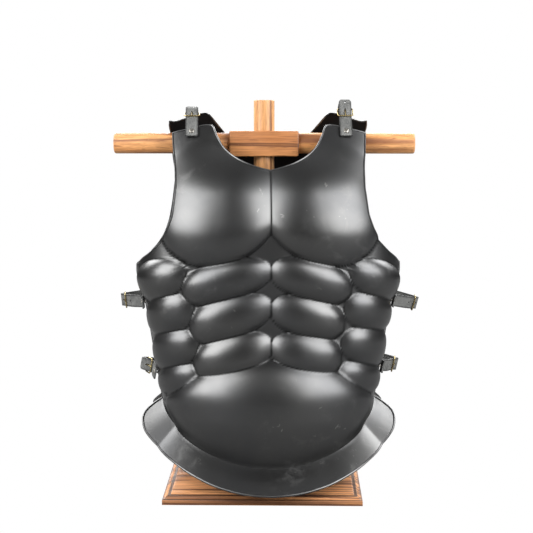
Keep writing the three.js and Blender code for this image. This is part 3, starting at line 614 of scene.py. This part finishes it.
def make_wood_figure():
    """Wood grain. The vector comes in already stretched along the grain."""
    group, given = start_group("wood_figure", [
        ("Vector", VECTOR, None), ("Light", COLOUR, (0.88, 0.52, 0.24, 1)),
        ("Middle", COLOUR, (0.68, 0.33, 0.12, 1)), ("Dark", COLOUR, (0.14, 0.045, 0.014, 1)),
        ("Rings", FLOAT, 9.0),
    ], [("Color", COLOUR), ("Relief", FLOAT)])
    place = given["Vector"]
    broad = noise(group, place, 26.0, 2.0, 0.5, 0.4)
    rings = maths(group, "PINGPONG", maths(group, "MULTIPLY", broad, given["Rings"]), 1.0)
    ring_line = spread(group, rings, 0.0, 0.5, 0.12, 1.0)
    fibres = noise(group, place, 320.0, 3.0, 0.7)
    fine = spread(group, fibres, 0.3, 0.7)
    patch = spread(group, noise(group, place, 34.0, 2.0, 0.5, 0.3), 0.36, 0.66)
    pores = spread(group, noise(group, place, 520.0, 2.0, 0.5), 0.60, 0.72)
    ground = mix_colour(group, patch, given["Middle"], given["Light"])
    ringed = mix_colour(group, ring_line, given["Dark"], ground)
    fibred = mix_colour(group, maths(group, "MULTIPLY", maths(group, "SUBTRACT", 1.0, fine), 0.45),
                        ringed, given["Dark"])
    colour = mix_colour(group, maths(group, "MULTIPLY", pores, 0.7), fibred, given["Dark"])
    relief_height = maths(group, "SUBTRACT", fine, pores)
    return end_group(group, Color=colour, Relief=relief_height)


HANDLING = make_handling()
WOOD_FIGURE = make_wood_figure()

# ---------------------------------------------------------------- materials


def blackened_steel():
    material, tree, place = start_material("blackened_steel")
    marks = place_group(tree, HANDLING, {
        "Vector": place, "Smudge Scale": 8.0, "Scuff Scale": 70.0, "Scuff Amount": 0.6,
    })
    rim = add_node(tree, "ShaderNodeAttribute", attribute_name="rim").outputs["Fac"]
    fine = noise(tree, place, 900.0, 3.0, 0.6)
    black = mix_colour(tree, marks["Smudge"], (0.105, 0.106, 0.108, 1), (0.126, 0.126, 0.125, 1))
    scuffed = mix_colour(tree, marks["Scuff"], black, (0.3, 0.3, 0.29, 1))
    worn = spread(tree, noise(tree, place, 45.0, 3.0, 0.6), 0.35, 0.7, 0.15, 0.8)
    rubbed = mix_colour(tree, maths(tree, "MULTIPLY", rim, worn), scuffed, (0.2, 0.2, 0.2, 1))
    crease_shade = add_node(tree, "ShaderNodeAttribute", attribute_name="crease_shade").outputs["Fac"]
    cloud = spread(tree, noise(tree, place, 34.0, 5.0, 0.68, 0.5), 0.5, 0.74)
    film = maths(tree, "MULTIPLY", cloud, spread(tree, noise(tree, place, 6.0, 1.0), 0.42, 0.66))
    filmed = mix_colour(tree, maths(tree, "MULTIPLY", film, 0.4), rubbed, (0.24, 0.24, 0.235, 1))
    # painted shade: the steel turns near-black along the creases between muscles
    sunk = maths(tree, "MULTIPLY", crease_shade, 0.9)
    colour = mix_colour(tree, sunk, filmed, (0.012, 0.012, 0.012, 1))
    polish = spread(tree, marks["Smudge"], 0.0, 1.0, 0.37, 0.33)
    roughness = maths(tree, "ADD", polish, maths(tree, "MULTIPLY", film, 0.12))
    end_material(
        tree, Base_Color=colour, Metallic=1.0, Roughness=roughness,
        Normal=bump(tree, fine, 0.04, 0.0004),
    )
    return material


def steel_inside():
    material, tree, place = start_material("steel_inside_painted_shade")
    marks = place_group(tree, HANDLING, {
        "Vector": place, "Smudge Scale": 12.0, "Scuff Scale": 90.0, "Scuff Amount": 0.2,
    })
    # painted shade: the insides are a matt near-black, darker than the steel outside, so they stay
    # as dark as the shade inside the plates
    colour = mix_colour(tree, marks["Smudge"], (0.004, 0.004, 0.0045, 1), (0.009, 0.009, 0.009, 1))
    end_material(
        tree, Base_Color=mix_colour(tree, marks["Scuff"], colour, (0.1, 0.1, 0.1, 1)),
        Metallic=0.0, Roughness=0.6, Specular_IOR_Level=0.15,
        Normal=bump(tree, noise(tree, place, 700.0, 3.0), 0.08, 0.0004),
    )
    return material


def rivet_steel():
    material, tree, place = start_material("rivet_steel")
    marks = place_group(tree, HANDLING, {
        "Vector": place, "Smudge Scale": 160.0, "Scuff Scale": 420.0, "Scuff Amount": 0.8,
    })
    colour = mix_colour(tree, marks["Smudge"], (0.22, 0.21, 0.19, 1), (0.42, 0.40, 0.36, 1))
    end_material(
        tree, Base_Color=mix_colour(tree, marks["Scuff"], colour, (0.7, 0.68, 0.62, 1)),
        Metallic=1.0, Roughness=spread(tree, marks["Smudge"], 0.0, 1.0, 0.5, 0.3),
        Normal=bump(tree, noise(tree, place, 1500.0, 2.0), 0.15, 0.0003),
    )
    return material


def buckle_brass():
    material, tree, place = start_material("buckle_brass")
    marks = place_group(tree, HANDLING, {
        "Vector": place, "Smudge Scale": 140.0, "Scuff Scale": 380.0, "Scuff Amount": 0.7,
    })
    colour = mix_colour(tree, marks["Smudge"], (0.20, 0.15, 0.07, 1), (0.62, 0.52, 0.27, 1))
    end_material(
        tree, Base_Color=mix_colour(tree, marks["Scuff"], colour, (0.85, 0.78, 0.52, 1)),
        Metallic=1.0, Roughness=spread(tree, marks["Smudge"], 0.0, 1.0, 0.45, 0.25),
        Normal=bump(tree, noise(tree, place, 1200.0, 2.0), 0.12, 0.0003),
    )
    return material


def strap_leather():
    material, tree, place = start_material("strap_leather")
    marks = place_group(tree, HANDLING, {
        "Vector": place, "Smudge Scale": 60.0, "Scuff Scale": 260.0, "Scuff Amount": 0.8,
    })
    edge = add_node(tree, "ShaderNodeAttribute", attribute_name="edge").outputs["Fac"]
    cells = add_node(tree, "ShaderNodeTexVoronoi", {
        "Vector": place, "Scale": 750.0,
    }).outputs["Distance"]
    fuzz = noise(tree, place, 480.0, 4.0, 0.7)
    ground = mix_colour(tree, marks["Smudge"], (0.075, 0.077, 0.075, 1), (0.15, 0.152, 0.147, 1))
    mottling = spread(tree, fuzz, 0.35, 0.7, 0.0, 0.45)
    mottled = mix_colour(tree, mottling, ground, (0.22, 0.22, 0.21, 1))
    scuffed = mix_colour(tree, marks["Scuff"], mottled, (0.32, 0.31, 0.29, 1))
    colour = mix_colour(tree, edge, scuffed, (0.02, 0.02, 0.02, 1))
    pebbles = maths(tree, "MULTIPLY", cells, 0.6)
    grain = maths(tree, "ADD", pebbles, maths(tree, "MULTIPLY", fuzz, 0.5))
    end_material(
        tree, Base_Color=colour, Roughness=spread(tree, marks["Smudge"], 0.0, 1.0, 0.72, 0.55),
        Normal=bump(tree, grain, 0.5, 0.0006),
    )
    return material


def stand_wood(name, stretch, rings, tones=None, shaded_grooves=()):
    """Oiled wood whose grain runs the way that the pattern is stretched. Painted shade
    darkens thin lines at the given groove heights."""
    material, tree, place = start_material(name)
    along = add_node(tree, "ShaderNodeMapping", {
        "Vector": place, "Scale": stretch,
    }).outputs["Vector"]
    figure = place_group(tree, WOOD_FIGURE, {"Vector": along, "Rings": rings, **(tones or {})})
    marks = place_group(tree, HANDLING, {
        "Vector": place, "Smudge Scale": 30.0, "Scuff Scale": 160.0, "Scuff Amount": 0.5,
    })
    colour = mix_colour(tree, marks["Scuff"], figure["Color"], (0.62, 0.36, 0.18, 1))
    height = add_node(tree, "ShaderNodeSeparateXYZ", {"Vector": place}).outputs["Z"]
    # painted shade: a thin near-black line at each groove's height
    for groove in shaded_grooves:
        away = maths(tree, "ABSOLUTE", maths(tree, "SUBTRACT", height, groove * MM))
        groove_shade = spread(tree, away, 0.2 * MM, 0.8 * MM, 0.85, 0.0)
        colour = mix_colour(tree, groove_shade, colour, (0.03, 0.012, 0.006, 1))
    end_material(
        tree, Base_Color=colour, Roughness=spread(tree, marks["Smudge"], 0.0, 1.0, 0.55, 0.42),
        Coat_Weight=0.08, Coat_Roughness=0.3, Normal=bump(tree, figure["Relief"], 0.25, 0.0004),
    )
    return material


STEEL = blackened_steel()
STEEL_INSIDE = steel_inside()
RIVET_STEEL = rivet_steel()
BRASS = buckle_brass()
LEATHER = strap_leather()
WOOD_UPRIGHT = stand_wood("stand_wood_upright", (1, 1, 0.07), 8.0)
WOOD_CROSSWAYS = stand_wood("stand_wood_crossways", (0.09, 1, 1), 7.0, {
    "Light": (0.93, 0.50, 0.21, 1), "Middle": (0.72, 0.31, 0.10, 1),
    "Dark": (0.18, 0.055, 0.016, 1),
})
WOOD_BLOCK = stand_wood("stand_wood_block", (0.05, 1, 1), 9.0, {
    "Light": (0.68, 0.31, 0.115, 1), "Middle": (0.47, 0.185, 0.06, 1),
    "Dark": (0.10, 0.03, 0.01, 1),
})
WOOD_BOARD = stand_wood("stand_wood_board", (0.05, 0.8, 1), 10.0, {
    "Light": (0.92, 0.43, 0.18, 1), "Middle": (0.72, 0.31, 0.115, 1),
    "Dark": (0.12, 0.042, 0.016, 1),
}, (2.2, 8.6, 13.3))

# ---------------------------------------------------------------- breastplate and backplate


def border_of(plate, columns, rows):
    """Points right round a plate's edge, and the radius of its rolled edge there."""
    across = np.linspace(-1, 1, columns + 1)
    climb = np.linspace(0, 1, rows + 1)
    flange = np.linspace(-1, 0, 12)[:-1]
    up = np.concatenate([flange, climb])
    sides = [
        (across, -1 + 0 * across, RIM_RADIUS),
        (1 + 0 * up[1:], up[1:], ROLL_RADIUS),
        (across[::-1][1:], 1 + 0 * across[1:], ROLL_RADIUS),
        (-1 + 0 * up[1:-1], up[::-1][1:-1], ROLL_RADIUS),
    ]
    places, radii = [], []
    for along, rising, radius in sides:
        places.append(plate_surface(plate, along, rising)[0])
        radii.append(np.full(len(along), radius))
    return np.concatenate(places), np.concatenate(radii)


def mark_rim(piece, border, reach):
    """Stores how near each point is to the plate's edge, for the material."""
    tree = KDTree(len(border))
    for i, place in enumerate(border):
        tree.insert(place, i)
    tree.balance()
    near = [max(0.0, 1 - tree.find(vertex.co)[2] / reach) for vertex in piece.data.vertices]
    piece.data.attributes.new("rim", "FLOAT", "POINT").data.foreach_set("value", near)


def raised_plate(name, plate):
    """A plate raised out of a flat sheet, with its flange and its rolled edge."""
    columns, rows, flange_rows = plate["columns"], plate["rows"], plate["flange_rows"]
    piece = flat_grid(name, columns, rows + flange_rows)
    flat = points_of(piece)
    across = -plate["facing"] * flat[:, 0]
    level = np.round((flat[:, 1] + 1) / 2 * (rows + flange_rows)) - flange_rows
    climb = np.where(level < 0, level / flange_rows, level / rows)
    points, crease_shade = plate_surface(plate, across, climb)
    move_points(piece, in_place(points))
    # how much painted crease shade each point gets, for the material
    piece.data.attributes.new("crease_shade", "FLOAT", "POINT").data.foreach_set("value", crease_shade)
    piece.data.materials.append(STEEL)
    piece.data.materials.append(STEEL_INSIDE)
    apply_modifier(piece, "SMOOTH", factor=0.5, iterations=2)
    apply_modifier(piece, "SOLIDIFY", thickness=SHEET * MM, offset=-1, material_offset=1)
    border, radii = border_of(plate, 2 * columns // 3, 2 * rows // 3)
    border = in_place(border)
    roll = bent_wire(name + "_roll", border, radii, closed=True)
    roll.data.materials.append(STEEL)
    join_pieces(piece, roll)
    mark_rim(piece, border, RUBBED_REACH * MM)
    smooth_shade(piece, 40)
    dress(piece, None, "blackened_steel", name)
    return piece


raised_plate("breastplate", BREASTPLATE)
raised_plate("backplate", BACKPLATE)

# ---------------------------------------------------------------- strap routes


def unit(vector):
    return vector / np.linalg.norm(vector)


def spot(first, second):
    return np.array([first, second], float)


def side_reach(plate, side, y, height, tilt):
    """How far out a strap must stand at y to clear a plate over its whole width."""
    turns = SIDE_TURNS
    reach = 0.0
    for above in np.linspace(-1, 1, 7) * STRAP_WIDTH / 2:
        line = plate_point(plate, side * turns, height + above + 0 * turns)
        past = np.abs(line[:, 1]) <= abs(y)
        at = np.argmax(past) if past.any() else len(turns) - 1
        reach = max(reach, abs(line[at, 0]) - above * tilt)
    return reach + STRAP_STANDOFF + STRAP_THICK / 2


def side_edge(strap):
    """Half the shell's width at a side strap."""
    height = np.array(float(strap["height"]))
    return float(read_table(FRONT_SECTIONS, "height", "half_width", height))


def threading(near, hinge, up):
    """A tongue's way through its buckle: under the near bar and over the hinge bar."""
    rise = TONGUE_OVER - TONGUE_UNDER
    return [
        near - up * TONGUE_UNDER,
        near + (hinge - near) * THREADING["along"] + up * rise * THREADING["up"],
        hinge + up * TONGUE_OVER,
    ]


def side_strap_route(strap):
    """A side strap's two lines, in its set's plane: how far out, and how far back."""
    side, height, tilt, splay = strap["side"], strap["height"], strap["tilt"], strap["splay"]
    edge = side_edge(strap)
    reach = strap["reach"]

    def on_plate(plate, y):
        rough = side_reach(plate, side, y, height, tilt)
        return spot(side_reach(plate, side, y, height - (rough - edge) * tilt, tilt), y)

    near = spot(edge + reach, SIDE_BAR_Y)
    run = spot(splay / BUCKLE_LENGTH, math.sqrt(1 - (splay / BUCKLE_LENGTH) ** 2))
    hinge = near + run * BUCKLE_LENGTH
    up = spot(run[1], -run[0])

    def riveted_end(plate, ys):
        """Three points in a straight line, standing clear of the plate."""
        end, rivet, leave = (on_plate(plate, y)[0] for y in ys)
        rivet = max(rivet, (end + leave) / 2)
        return [spot(2 * rivet - leave, ys[0]), spot(rivet, ys[1]), spot(leave, ys[2])]

    lift, tuck = SIDE_FRONT_Y["lift"], SIDE_BACK_Y["tuck"]
    lifted = max(edge + reach * SIDE_FRONT_Y["bow"], on_plate(BREASTPLATE, lift)[0])
    inset = SIDE_BACK_Y["inset"]
    bowed = edge - inset + (reach + inset) * SIDE_BACK_Y["bow"]
    tucked = max(bowed, on_plate(BACKPLATE, tuck)[0] + SIDE_BACK_Y["clear"])
    front = [
        *riveted_end(BREASTPLATE, SIDE_FRONT_Y["riveted"]),
        spot(lifted, lift),
        *threading(near, hinge, up),
        hinge + up * (TONGUE_OVER - SIDE_TIP_DROP) + run * strap["tongue"],
    ]
    back = [*riveted_end(BACKPLATE, SIDE_BACK_Y["riveted"]), spot(tucked, tuck)]
    return dict(near=near, hinge=hinge, up=up, run=run, outside=spot(1, 0), front=front, back=back)


def shoulder_route(strap):
    """A shoulder strap's two lines, in its set's plane: how far back, and how high."""
    side, across = strap["side"], strap["across"]

    def depth_at(plate, level):
        line = plate_point(plate, side * SHOULDER_TURNS, level + 0 * SHOULDER_TURNS)
        at = np.argmax(np.abs(line[:, 0]) >= across)
        return line[at, 1]

    def on_plate(plate, level):
        ahead, behind = depth_at(plate, level + SLOPE_STEP), depth_at(plate, level - SLOPE_STEP)
        slope = (ahead - behind) / (2 * SLOPE_STEP)
        normal = unit(spot(1, -slope)) * plate["facing"]
        standoff = STRAP_STANDOFF + STRAP_THICK / 2 + SHOULDER_EXTRA
        return spot(depth_at(plate, level), level) + normal * standoff

    angle, lean = math.radians(strap["slope"]), math.radians(strap["lean"])
    run = spot(math.cos(angle), math.sin(angle))
    up = spot(-run[1], run[0])
    near = spot(*SHOULDER_BAR)
    hinge = near + run * BUCKLE_LENGTH
    free = spot(math.cos(lean), math.sin(lean))
    front = [
        *(on_plate(BREASTPLATE, level) for level in SHOULDER_FRONT_Z),
        *threading(near, hinge, up),
        hinge + up * TONGUE_OVER + free * strap["tongue"],
    ]
    over_flap = on_plate(BACKPLATE, SHOULDER_BACK_Z["leave"])[0] - SHOULDER_BACK_Z["ahead"]
    back = [
        *(on_plate(BACKPLATE, level) for level in SHOULDER_BACK_Z["riveted"]),
        spot(over_flap, FLAP_TOP + FLAP_CLEAR),
    ]
    return dict(near=near, hinge=hinge, up=up, run=run, outside=spot(0, 1), front=front, back=back)


def smooth_line(points, steps):
    """Points of a smooth curve through the given ones."""
    line = []
    last = len(points) - 1
    for i in range(last):
        a, b = points[i], points[i + 1]
        leaving = (b - points[max(i - 1, 0)]) / 2
        arriving = (points[min(i + 2, last)] - a) / 2
        for step in range(steps):
            t = step / steps
            line.append(
                (2 * a - 2 * b + leaving + arriving) * t**3
                + (-3 * a + 3 * b - 2 * leaving - arriving) * t**2 + leaving * t + a
            )
    line.append(points[-1])
    return np.array(line)


def set_placing(strap):
    """The frame that a strap set is drawn in: two axes and the strap's width."""
    if "across" in strap:
        first, second = Vector((0, 1, 0)), Vector((0, 0, 1))
        origin = Vector((strap["side"] * strap["across"], 0, 0))
    else:
        first, second = Vector((strap["side"], 0, -strap["tilt"])).normalized(), Vector((0, 1, 0))
        edge = side_edge(strap)
        origin = Vector((strap["side"] * edge, 0, strap["height"])) - first * edge
    width = first.cross(second).normalized()
    axes = Matrix((first, second, width)).transposed().to_4x4()
    return HANG @ Matrix.Translation(origin * MM) @ axes


# ---------------------------------------------------------------- straps, buckles and rivets


def tip_narrowing(length_left):
    """How much of its width a strap keeps near its free end."""
    widened = STRAP_TIP["wider"] * length_left / STRAP_TIP["length"]
    return np.clip(STRAP_TIP["narrow"] + widened, 0, 1)


def leather_band(name, line, placing, holes=(), tipped=False):
    """A strap along a line of flat points, with its edges eased and its holes punched."""
    columns = len(line) - 1
    piece = flat_grid(name, columns, 6)
    flat = points_of(piece)
    index = np.round((flat[:, 0] + 1) / 2 * columns).astype(int)
    lengths = np.concatenate([[0], np.cumsum(np.linalg.norm(np.diff(line, axis=0), axis=1))])
    left = lengths[-1] - lengths[index]
    half = STRAP_WIDTH / 2 * (tip_narrowing(left) if tipped else 1)
    points = np.column_stack([line[index], flat[:, 1] * half])
    move_points(piece, in_place(points, placing))
    apply_modifier(piece, "SOLIDIFY", thickness=STRAP_THICK * MM, offset=0)
    face_outwards(piece)
    for at, along, length, width in holes:
        punch = hole_punch(at, along, length, width, placing)
        apply_modifier(piece, "BOOLEAN", operation="DIFFERENCE", object=punch, solver="EXACT")
        bpy.data.objects.remove(punch)
    mark_edges(piece, placing)
    apply_modifier(
        piece, "BEVEL", width=STRAP_EDGE["bevel"] * MM, segments=2, limit_method="ANGLE",
        angle_limit=math.radians(50), harden_normals=False,
    )
    smooth_shade(piece, 50)
    return piece


def mark_edges(piece, placing):
    """Stores which points lie on a strap's cut edges, for the material."""
    width_axis = placing.to_3x3().col[2]
    middle = placing.translation
    inner = (STRAP_WIDTH / 2 - STRAP_EDGE["dark"]) * MM
    cut = [
        1.0 if abs((vertex.co - middle).dot(width_axis)) > inner else 0.0
        for vertex in piece.data.vertices
    ]
    piece.data.attributes.new("edge", "FLOAT", "POINT").data.foreach_set("value", cut)


def hole_punch(at, along, length, width, placing):
    """A round or long punch standing square to the leather."""
    punch = turned("punch", [(width / 2, -6), (width / 2, 6)], 16)
    through = Vector((-along[1], along[0], 0))
    stretch = Matrix.Diagonal((1, length / width, 1, 1))
    lengthways = Vector((along[0], along[1], 0))
    axes = Matrix((Vector((0, 0, 1)), lengthways, through)).transposed().to_4x4()
    centre = Matrix.Translation(Vector((at[0], at[1], 0)) * MM)
    punch.data.transform(placing @ centre @ axes @ stretch)
    face_outwards(punch)
    return punch


def folded_end(route):
    """The buckle strap's line: up to the hinge bar, round it, and back under itself."""
    hinge, run, up = route["hinge"], route["run"], route["up"]
    bend = EYE_BORE + EYE_WALL / 2 + EYE_EASE
    line = list(smooth_line([*route["back"], hinge + run * 8 + up * bend * 0.75], 6))
    for angle in np.radians(np.arange(90, 275, 15)):
        line.append(hinge + run * math.cos(angle) * bend + up * math.sin(angle) * bend)
    return np.array(line)


def buckle_frame(name, route, placing):
    """A wire frame with rounded corners, from its near bar to its hinge bar."""
    half_length, half_width, corner = BUCKLE_LENGTH / 2, BUCKLE_WIDTH / 2, BUCKLE_CORNER
    middle = (route["near"] + route["hinge"]) / 2
    points = []
    for quarter in range(4):
        start = quarter * 90
        centre_x = (half_length - corner) * (1 if quarter in (0, 3) else -1)
        centre_w = (half_width - corner) * (1 if quarter in (0, 1) else -1)
        for angle in np.radians(np.arange(start, start + 91, 18)):
            along = centre_x + corner * math.cos(angle)
            out = centre_w + corner * math.sin(angle)
            points.append((*(middle + route["run"] * along), out))
    radii = [BAR_RADIUS] * len(points)
    return bent_wire(name, in_place(np.array(points), placing), radii, True, 4)


def buckle_prong(name, route, placing):
    """A pin looped round the hinge bar and laid over the near bar."""
    near, hinge, run, up = route["near"], route["hinge"], route["run"], route["up"]
    loop = BAR_RADIUS + PRONG["ring"]
    points = [
        hinge + run * math.cos(angle) * loop + up * math.sin(angle) * loop
        for angle in np.radians(np.arange(-150, 91, 20))
    ]
    tip = near + up * (BAR_RADIUS + PRONG["over"]) - run * PRONG["past"]
    points += [points[-1] + (tip - points[-1]) * t for t in (0.25, 0.5, 0.75, 0.9, 1.0)]
    radii = [PRONG["radius"]] * (len(points) - 3) + [0.75, 0.65, 0.45]
    spots = np.column_stack([np.array(points), np.zeros(len(points))])
    return bent_wire(name, in_place(spots, placing), radii, False, 4)


RIVET_PROFILE = [
    (RIVET_SHANK, -5.5), (RIVET_SHANK, 1.4), (RIVET_HEAD, 1.42), (RIVET_HEAD, 1.7), (4.0, 2.1),
    (3.5, 2.55), (2.7, 2.92), (1.6, 3.14), (0.3, 3.22),
]


def end_facing(points, outside):
    """Where a route's rivet sits, and the outward direction there."""
    along = unit(points[2] - points[0])
    outward = spot(-along[1], along[0])
    if outward.dot(outside) < 0:
        outward = -outward
    return points[1], outward


def rivet_at(name, pattern, at, outward, placing):
    piece = copy_of(pattern, name)
    up = Vector((outward[0], outward[1], 0))
    turn = up.to_track_quat("Z", "Y").to_matrix().to_4x4()
    piece.data.transform(placing @ Matrix.Translation(Vector((at[0], at[1], 0)) * MM) @ turn)
    face_outwards(piece)
    smooth_shade(piece, 30)
    dress(piece, RIVET_STEEL, "rivet_steel", name)


def strap_set(strap, rivet_pattern):
    route = shoulder_route(strap) if "across" in strap else side_strap_route(strap)
    placing = set_placing(strap)
    name = strap["name"]
    near, hinge, run = route["near"], route["hinge"], route["run"]
    tongue_line = smooth_line(route["front"], 8)
    crossing = near + (hinge - near) * 0.5 + route["up"] * 1.0
    tail = route["front"][-1] + (route["front"][-2] - route["front"][-1]) * 0.42
    waist = (route["front"][3] + route["front"][4]) / 2
    waist_run = unit(route["front"][4] - route["front"][3])
    holes = [
        (crossing, run, *PRONG_SLOT),
        (tail, unit(route["front"][-1] - route["front"][-2]), *PUNCHED_HOLE),
        (waist, waist_run, *WAIST_HOLE),
    ]
    tongue = leather_band(name + "_tongue_strap", tongue_line, placing, holes, tipped=True)
    dress(tongue, LEATHER, "strap_leather", name + "_tongue_strap")
    slot_at = [(hinge - run * (EYE_BORE + 1), spot(-run[1], run[0]), *PRONG_SLOT)]
    folded = leather_band(name + "_buckle_strap", folded_end(route), placing, slot_at)
    dress(folded, LEATHER, "strap_leather", name + "_buckle_strap")
    ring = buckle_frame(name + "_buckle", route, placing)
    smooth_shade(ring, 60)
    dress(ring, BRASS, "buckle_brass", name + "_buckle")
    pin = buckle_prong(name + "_prong", route, placing)
    smooth_shade(pin, 60)
    dress(pin, BRASS, "buckle_brass", name + "_prong")
    for end in ("front", "back"):
        at, outward = end_facing(route[end], route["outside"])
        rivet_at(f"{name}_{end}_rivet", rivet_pattern, at, outward, placing)


rivet = turned("rivet_pattern", RIVET_PROFILE, 20)
for strap_row in SIDE_STRAPS + SHOULDER_STRAPS:
    strap_set(strap_row, rivet)
bpy.data.objects.remove(rivet)

# ---------------------------------------------------------------- stand

BASE_PROFILE = [
    (0, 0), (0, 7.5), (0.5, 8.4), (1.5, 9), (4, 9.4), (5.0, 9.9), (5.7, 10.9), (6.5, 12),
    (7.6, 12.8), (9, 13.2), (12, 13.4), (13.1, 13.8), (14, 14.5), (14.5, BASE_HEIGHT),
]


def stand_base():
    half = BASE_SIDE / 2
    profile = [((half - inset) * math.sqrt(2), height) for inset, height in BASE_PROFILE]
    piece = turned("stand_base", profile, 4, math.radians(45))
    apply_modifier(piece, "BEVEL", width=0.5 * MM, segments=2, limit_method="ANGLE",
                   angle_limit=math.radians(25))
    smooth_shade(piece, 35)
    dress(piece, WOOD_BOARD, "stand_wood", "stand_base")


def round_rod(name, radius, start, end, eased_start, eased_end):
    """A turned rod along Z with its ends eased."""
    def easing(size, at, way):
        steps = [(1.0, 0.0), (0.62, 0.1), (0.3, 0.3), (0.1, 0.62), (0.0, 1.0)]
        rows = [(radius - size * back, at + way * size * rise) for back, rise in steps]
        return rows if way > 0 else rows[::-1]
    profile = easing(eased_start, start, 1) + easing(eased_end, end, -1)
    return turned(name, profile, 48)


def stand_post():
    piece = round_rod("stand_post", POST_RADIUS, POST_FOOT, POST_TOP, 0.6, 1.4)
    smooth_shade(piece, 40)
    dress(piece, WOOD_UPRIGHT, "stand_wood", "stand_post")


def stand_arm(name, side):
    piece = round_rod(name, ARM_RADIUS, ARM_START, ARM_REACH, 0.5, 3.0)
    turn = Matrix.Rotation(side * math.radians(90), 4, "Y")
    piece.data.transform(Matrix.Translation((0, 0, CROSSBAR_HEIGHT * MM)) @ turn)
    smooth_shade(piece, 40)
    dress(piece, WOOD_CROSSWAYS, "stand_wood", name)


def stand_block():
    deselect()
    middle = (0, 0, CROSSBAR_HEIGHT * MM)
    bpy.ops.mesh.primitive_cube_add(size=MM, location=middle, scale=BLOCK_SIZE)
    piece = bpy.context.object
    piece.name = "stand_crossbar_block"
    piece.data.name = piece.name
    bpy.ops.object.transform_apply(location=True, rotation=True, scale=True)
    reach = BLOCK_SIZE[2] / 2 + 5
    drill = turned("drill", [
        (BLOCK_HOLE, CROSSBAR_HEIGHT - reach), (BLOCK_HOLE, CROSSBAR_HEIGHT + reach),
    ], 48)
    apply_modifier(piece, "BOOLEAN", operation="DIFFERENCE", object=drill, solver="EXACT")
    bpy.data.objects.remove(drill)
    apply_modifier(piece, "BEVEL", width=2.2 * MM, segments=4, limit_method="ANGLE",
                   angle_limit=math.radians(60))
    smooth_shade(piece, 35)
    dress(piece, WOOD_BLOCK, "stand_wood", "stand_crossbar_block")


stand_base()
stand_post()
stand_arm("stand_arm_right", -1)
stand_arm("stand_arm_left", 1)
stand_block()

# ---------------------------------------------------------------- studio

CAMERA_PLACE = (0.044, -2.152, 0.631)
CAMERA_PITCH = 7.228
CAMERA_TURN = 1.069
CAMERA_LENS = 88.68

# Softboxes round the object: azimuth from the camera's side, and sizes in metres.
SOFTBOXES = [
    dict(name="front_right", azimuth=-51, height=1.3, away=2.0, wide=1.75, tall=1.8, power=68),
    dict(name="front_left", azimuth=51, height=1.3, away=2.0, wide=1.75, tall=1.8, power=68),
    dict(name="back_right", azimuth=-125, height=1.8, away=2.0, wide=1.2, tall=1.2, power=38),
    dict(name="back_left", azimuth=125, height=1.8, away=2.0, wide=1.2, tall=1.2, power=38),
    dict(name="back", azimuth=180, height=1.75, away=2.3, wide=2.6, tall=1.5, power=100),
]
TOP_POWER = 4
WORLD_GLOW = 0.06            # what the surroundings light the object with
FLOOR_BOUNCE = 0.19          # what the floor does
AIM = Vector((0, 0, 0.32))   # where the softboxes point


def make_camera():
    data = bpy.data.cameras.new("camera")
    camera = bpy.data.objects.new("camera", data)
    bpy.context.collection.objects.link(camera)
    camera.location = CAMERA_PLACE
    camera.rotation_euler = (math.radians(90 - CAMERA_PITCH), 0, math.radians(CAMERA_TURN))
    data.sensor_width = 36
    data.lens = CAMERA_LENS
    bpy.context.scene.camera = camera


def add_softbox(name, place, wide, tall, power):
    data = bpy.data.lights.new(name, "AREA")
    data.shape = "RECTANGLE"
    data.size = wide
    data.size_y = tall
    data.energy = power
    light = bpy.data.objects.new(name, data)
    bpy.context.collection.objects.link(light)
    light.location = place
    light.rotation_euler = (AIM - Vector(place)).to_track_quat("-Z", "Y").to_euler()
    light.visible_camera = False


def light_studio():
    for box in SOFTBOXES:
        azimuth = math.radians(box["azimuth"])
        place = (box["away"] * math.sin(azimuth), -box["away"] * math.cos(azimuth), box["height"])
        add_softbox("softbox_" + box["name"], place, box["wide"], box["tall"], box["power"])
    add_softbox("softbox_top", (0, 0.5, 2.4), 1.4, 1.4, TOP_POWER)


def seen_directly(tree, shown, lighting):
    """White where it is looked at, dimmer where it lights the object."""
    looked_at = add_node(tree, "ShaderNodeLightPath").outputs["Is Camera Ray"]
    return add_node(tree, "ShaderNodeMixShader", {0: looked_at, 1: lighting, 2: shown}).outputs[0]


def make_world():
    world = bpy.data.worlds.new("studio")
    bpy.context.scene.world = world
    world.use_nodes = True
    tree = world.node_tree
    tree.nodes.clear()
    white = add_node(tree, "ShaderNodeBackground", {"Color": (1, 1, 1, 1), "Strength": 1.0})
    dim = add_node(tree, "ShaderNodeBackground", {"Color": (1, 1, 1, 1), "Strength": WORLD_GLOW})
    surface = seen_directly(tree, white.outputs[0], dim.outputs[0])
    add_node(tree, "ShaderNodeOutputWorld", {"Surface": surface})


def make_floor():
    deselect()
    bpy.ops.mesh.primitive_plane_add(size=16, location=(0, 0, 0))
    floor = bpy.context.object
    floor.name = "floor"
    material, tree, _ = start_material("pale_floor")
    matt = add_node(tree, "ShaderNodeBsdfDiffuse", {
        "Color": (FLOOR_BOUNCE, FLOOR_BOUNCE, FLOOR_BOUNCE, 1),
    })
    glow = add_node(tree, "ShaderNodeEmission", {"Color": (1, 1, 1, 1), "Strength": 1.0})
    surface = seen_directly(tree, glow.outputs[0], matt.outputs[0])
    add_node(tree, "ShaderNodeOutputMaterial", {"Surface": surface})
    floor.data.materials.append(material)


make_camera()
light_studio()
make_world()
make_floor()
bpy.context.scene.view_settings.view_transform = "Standard"
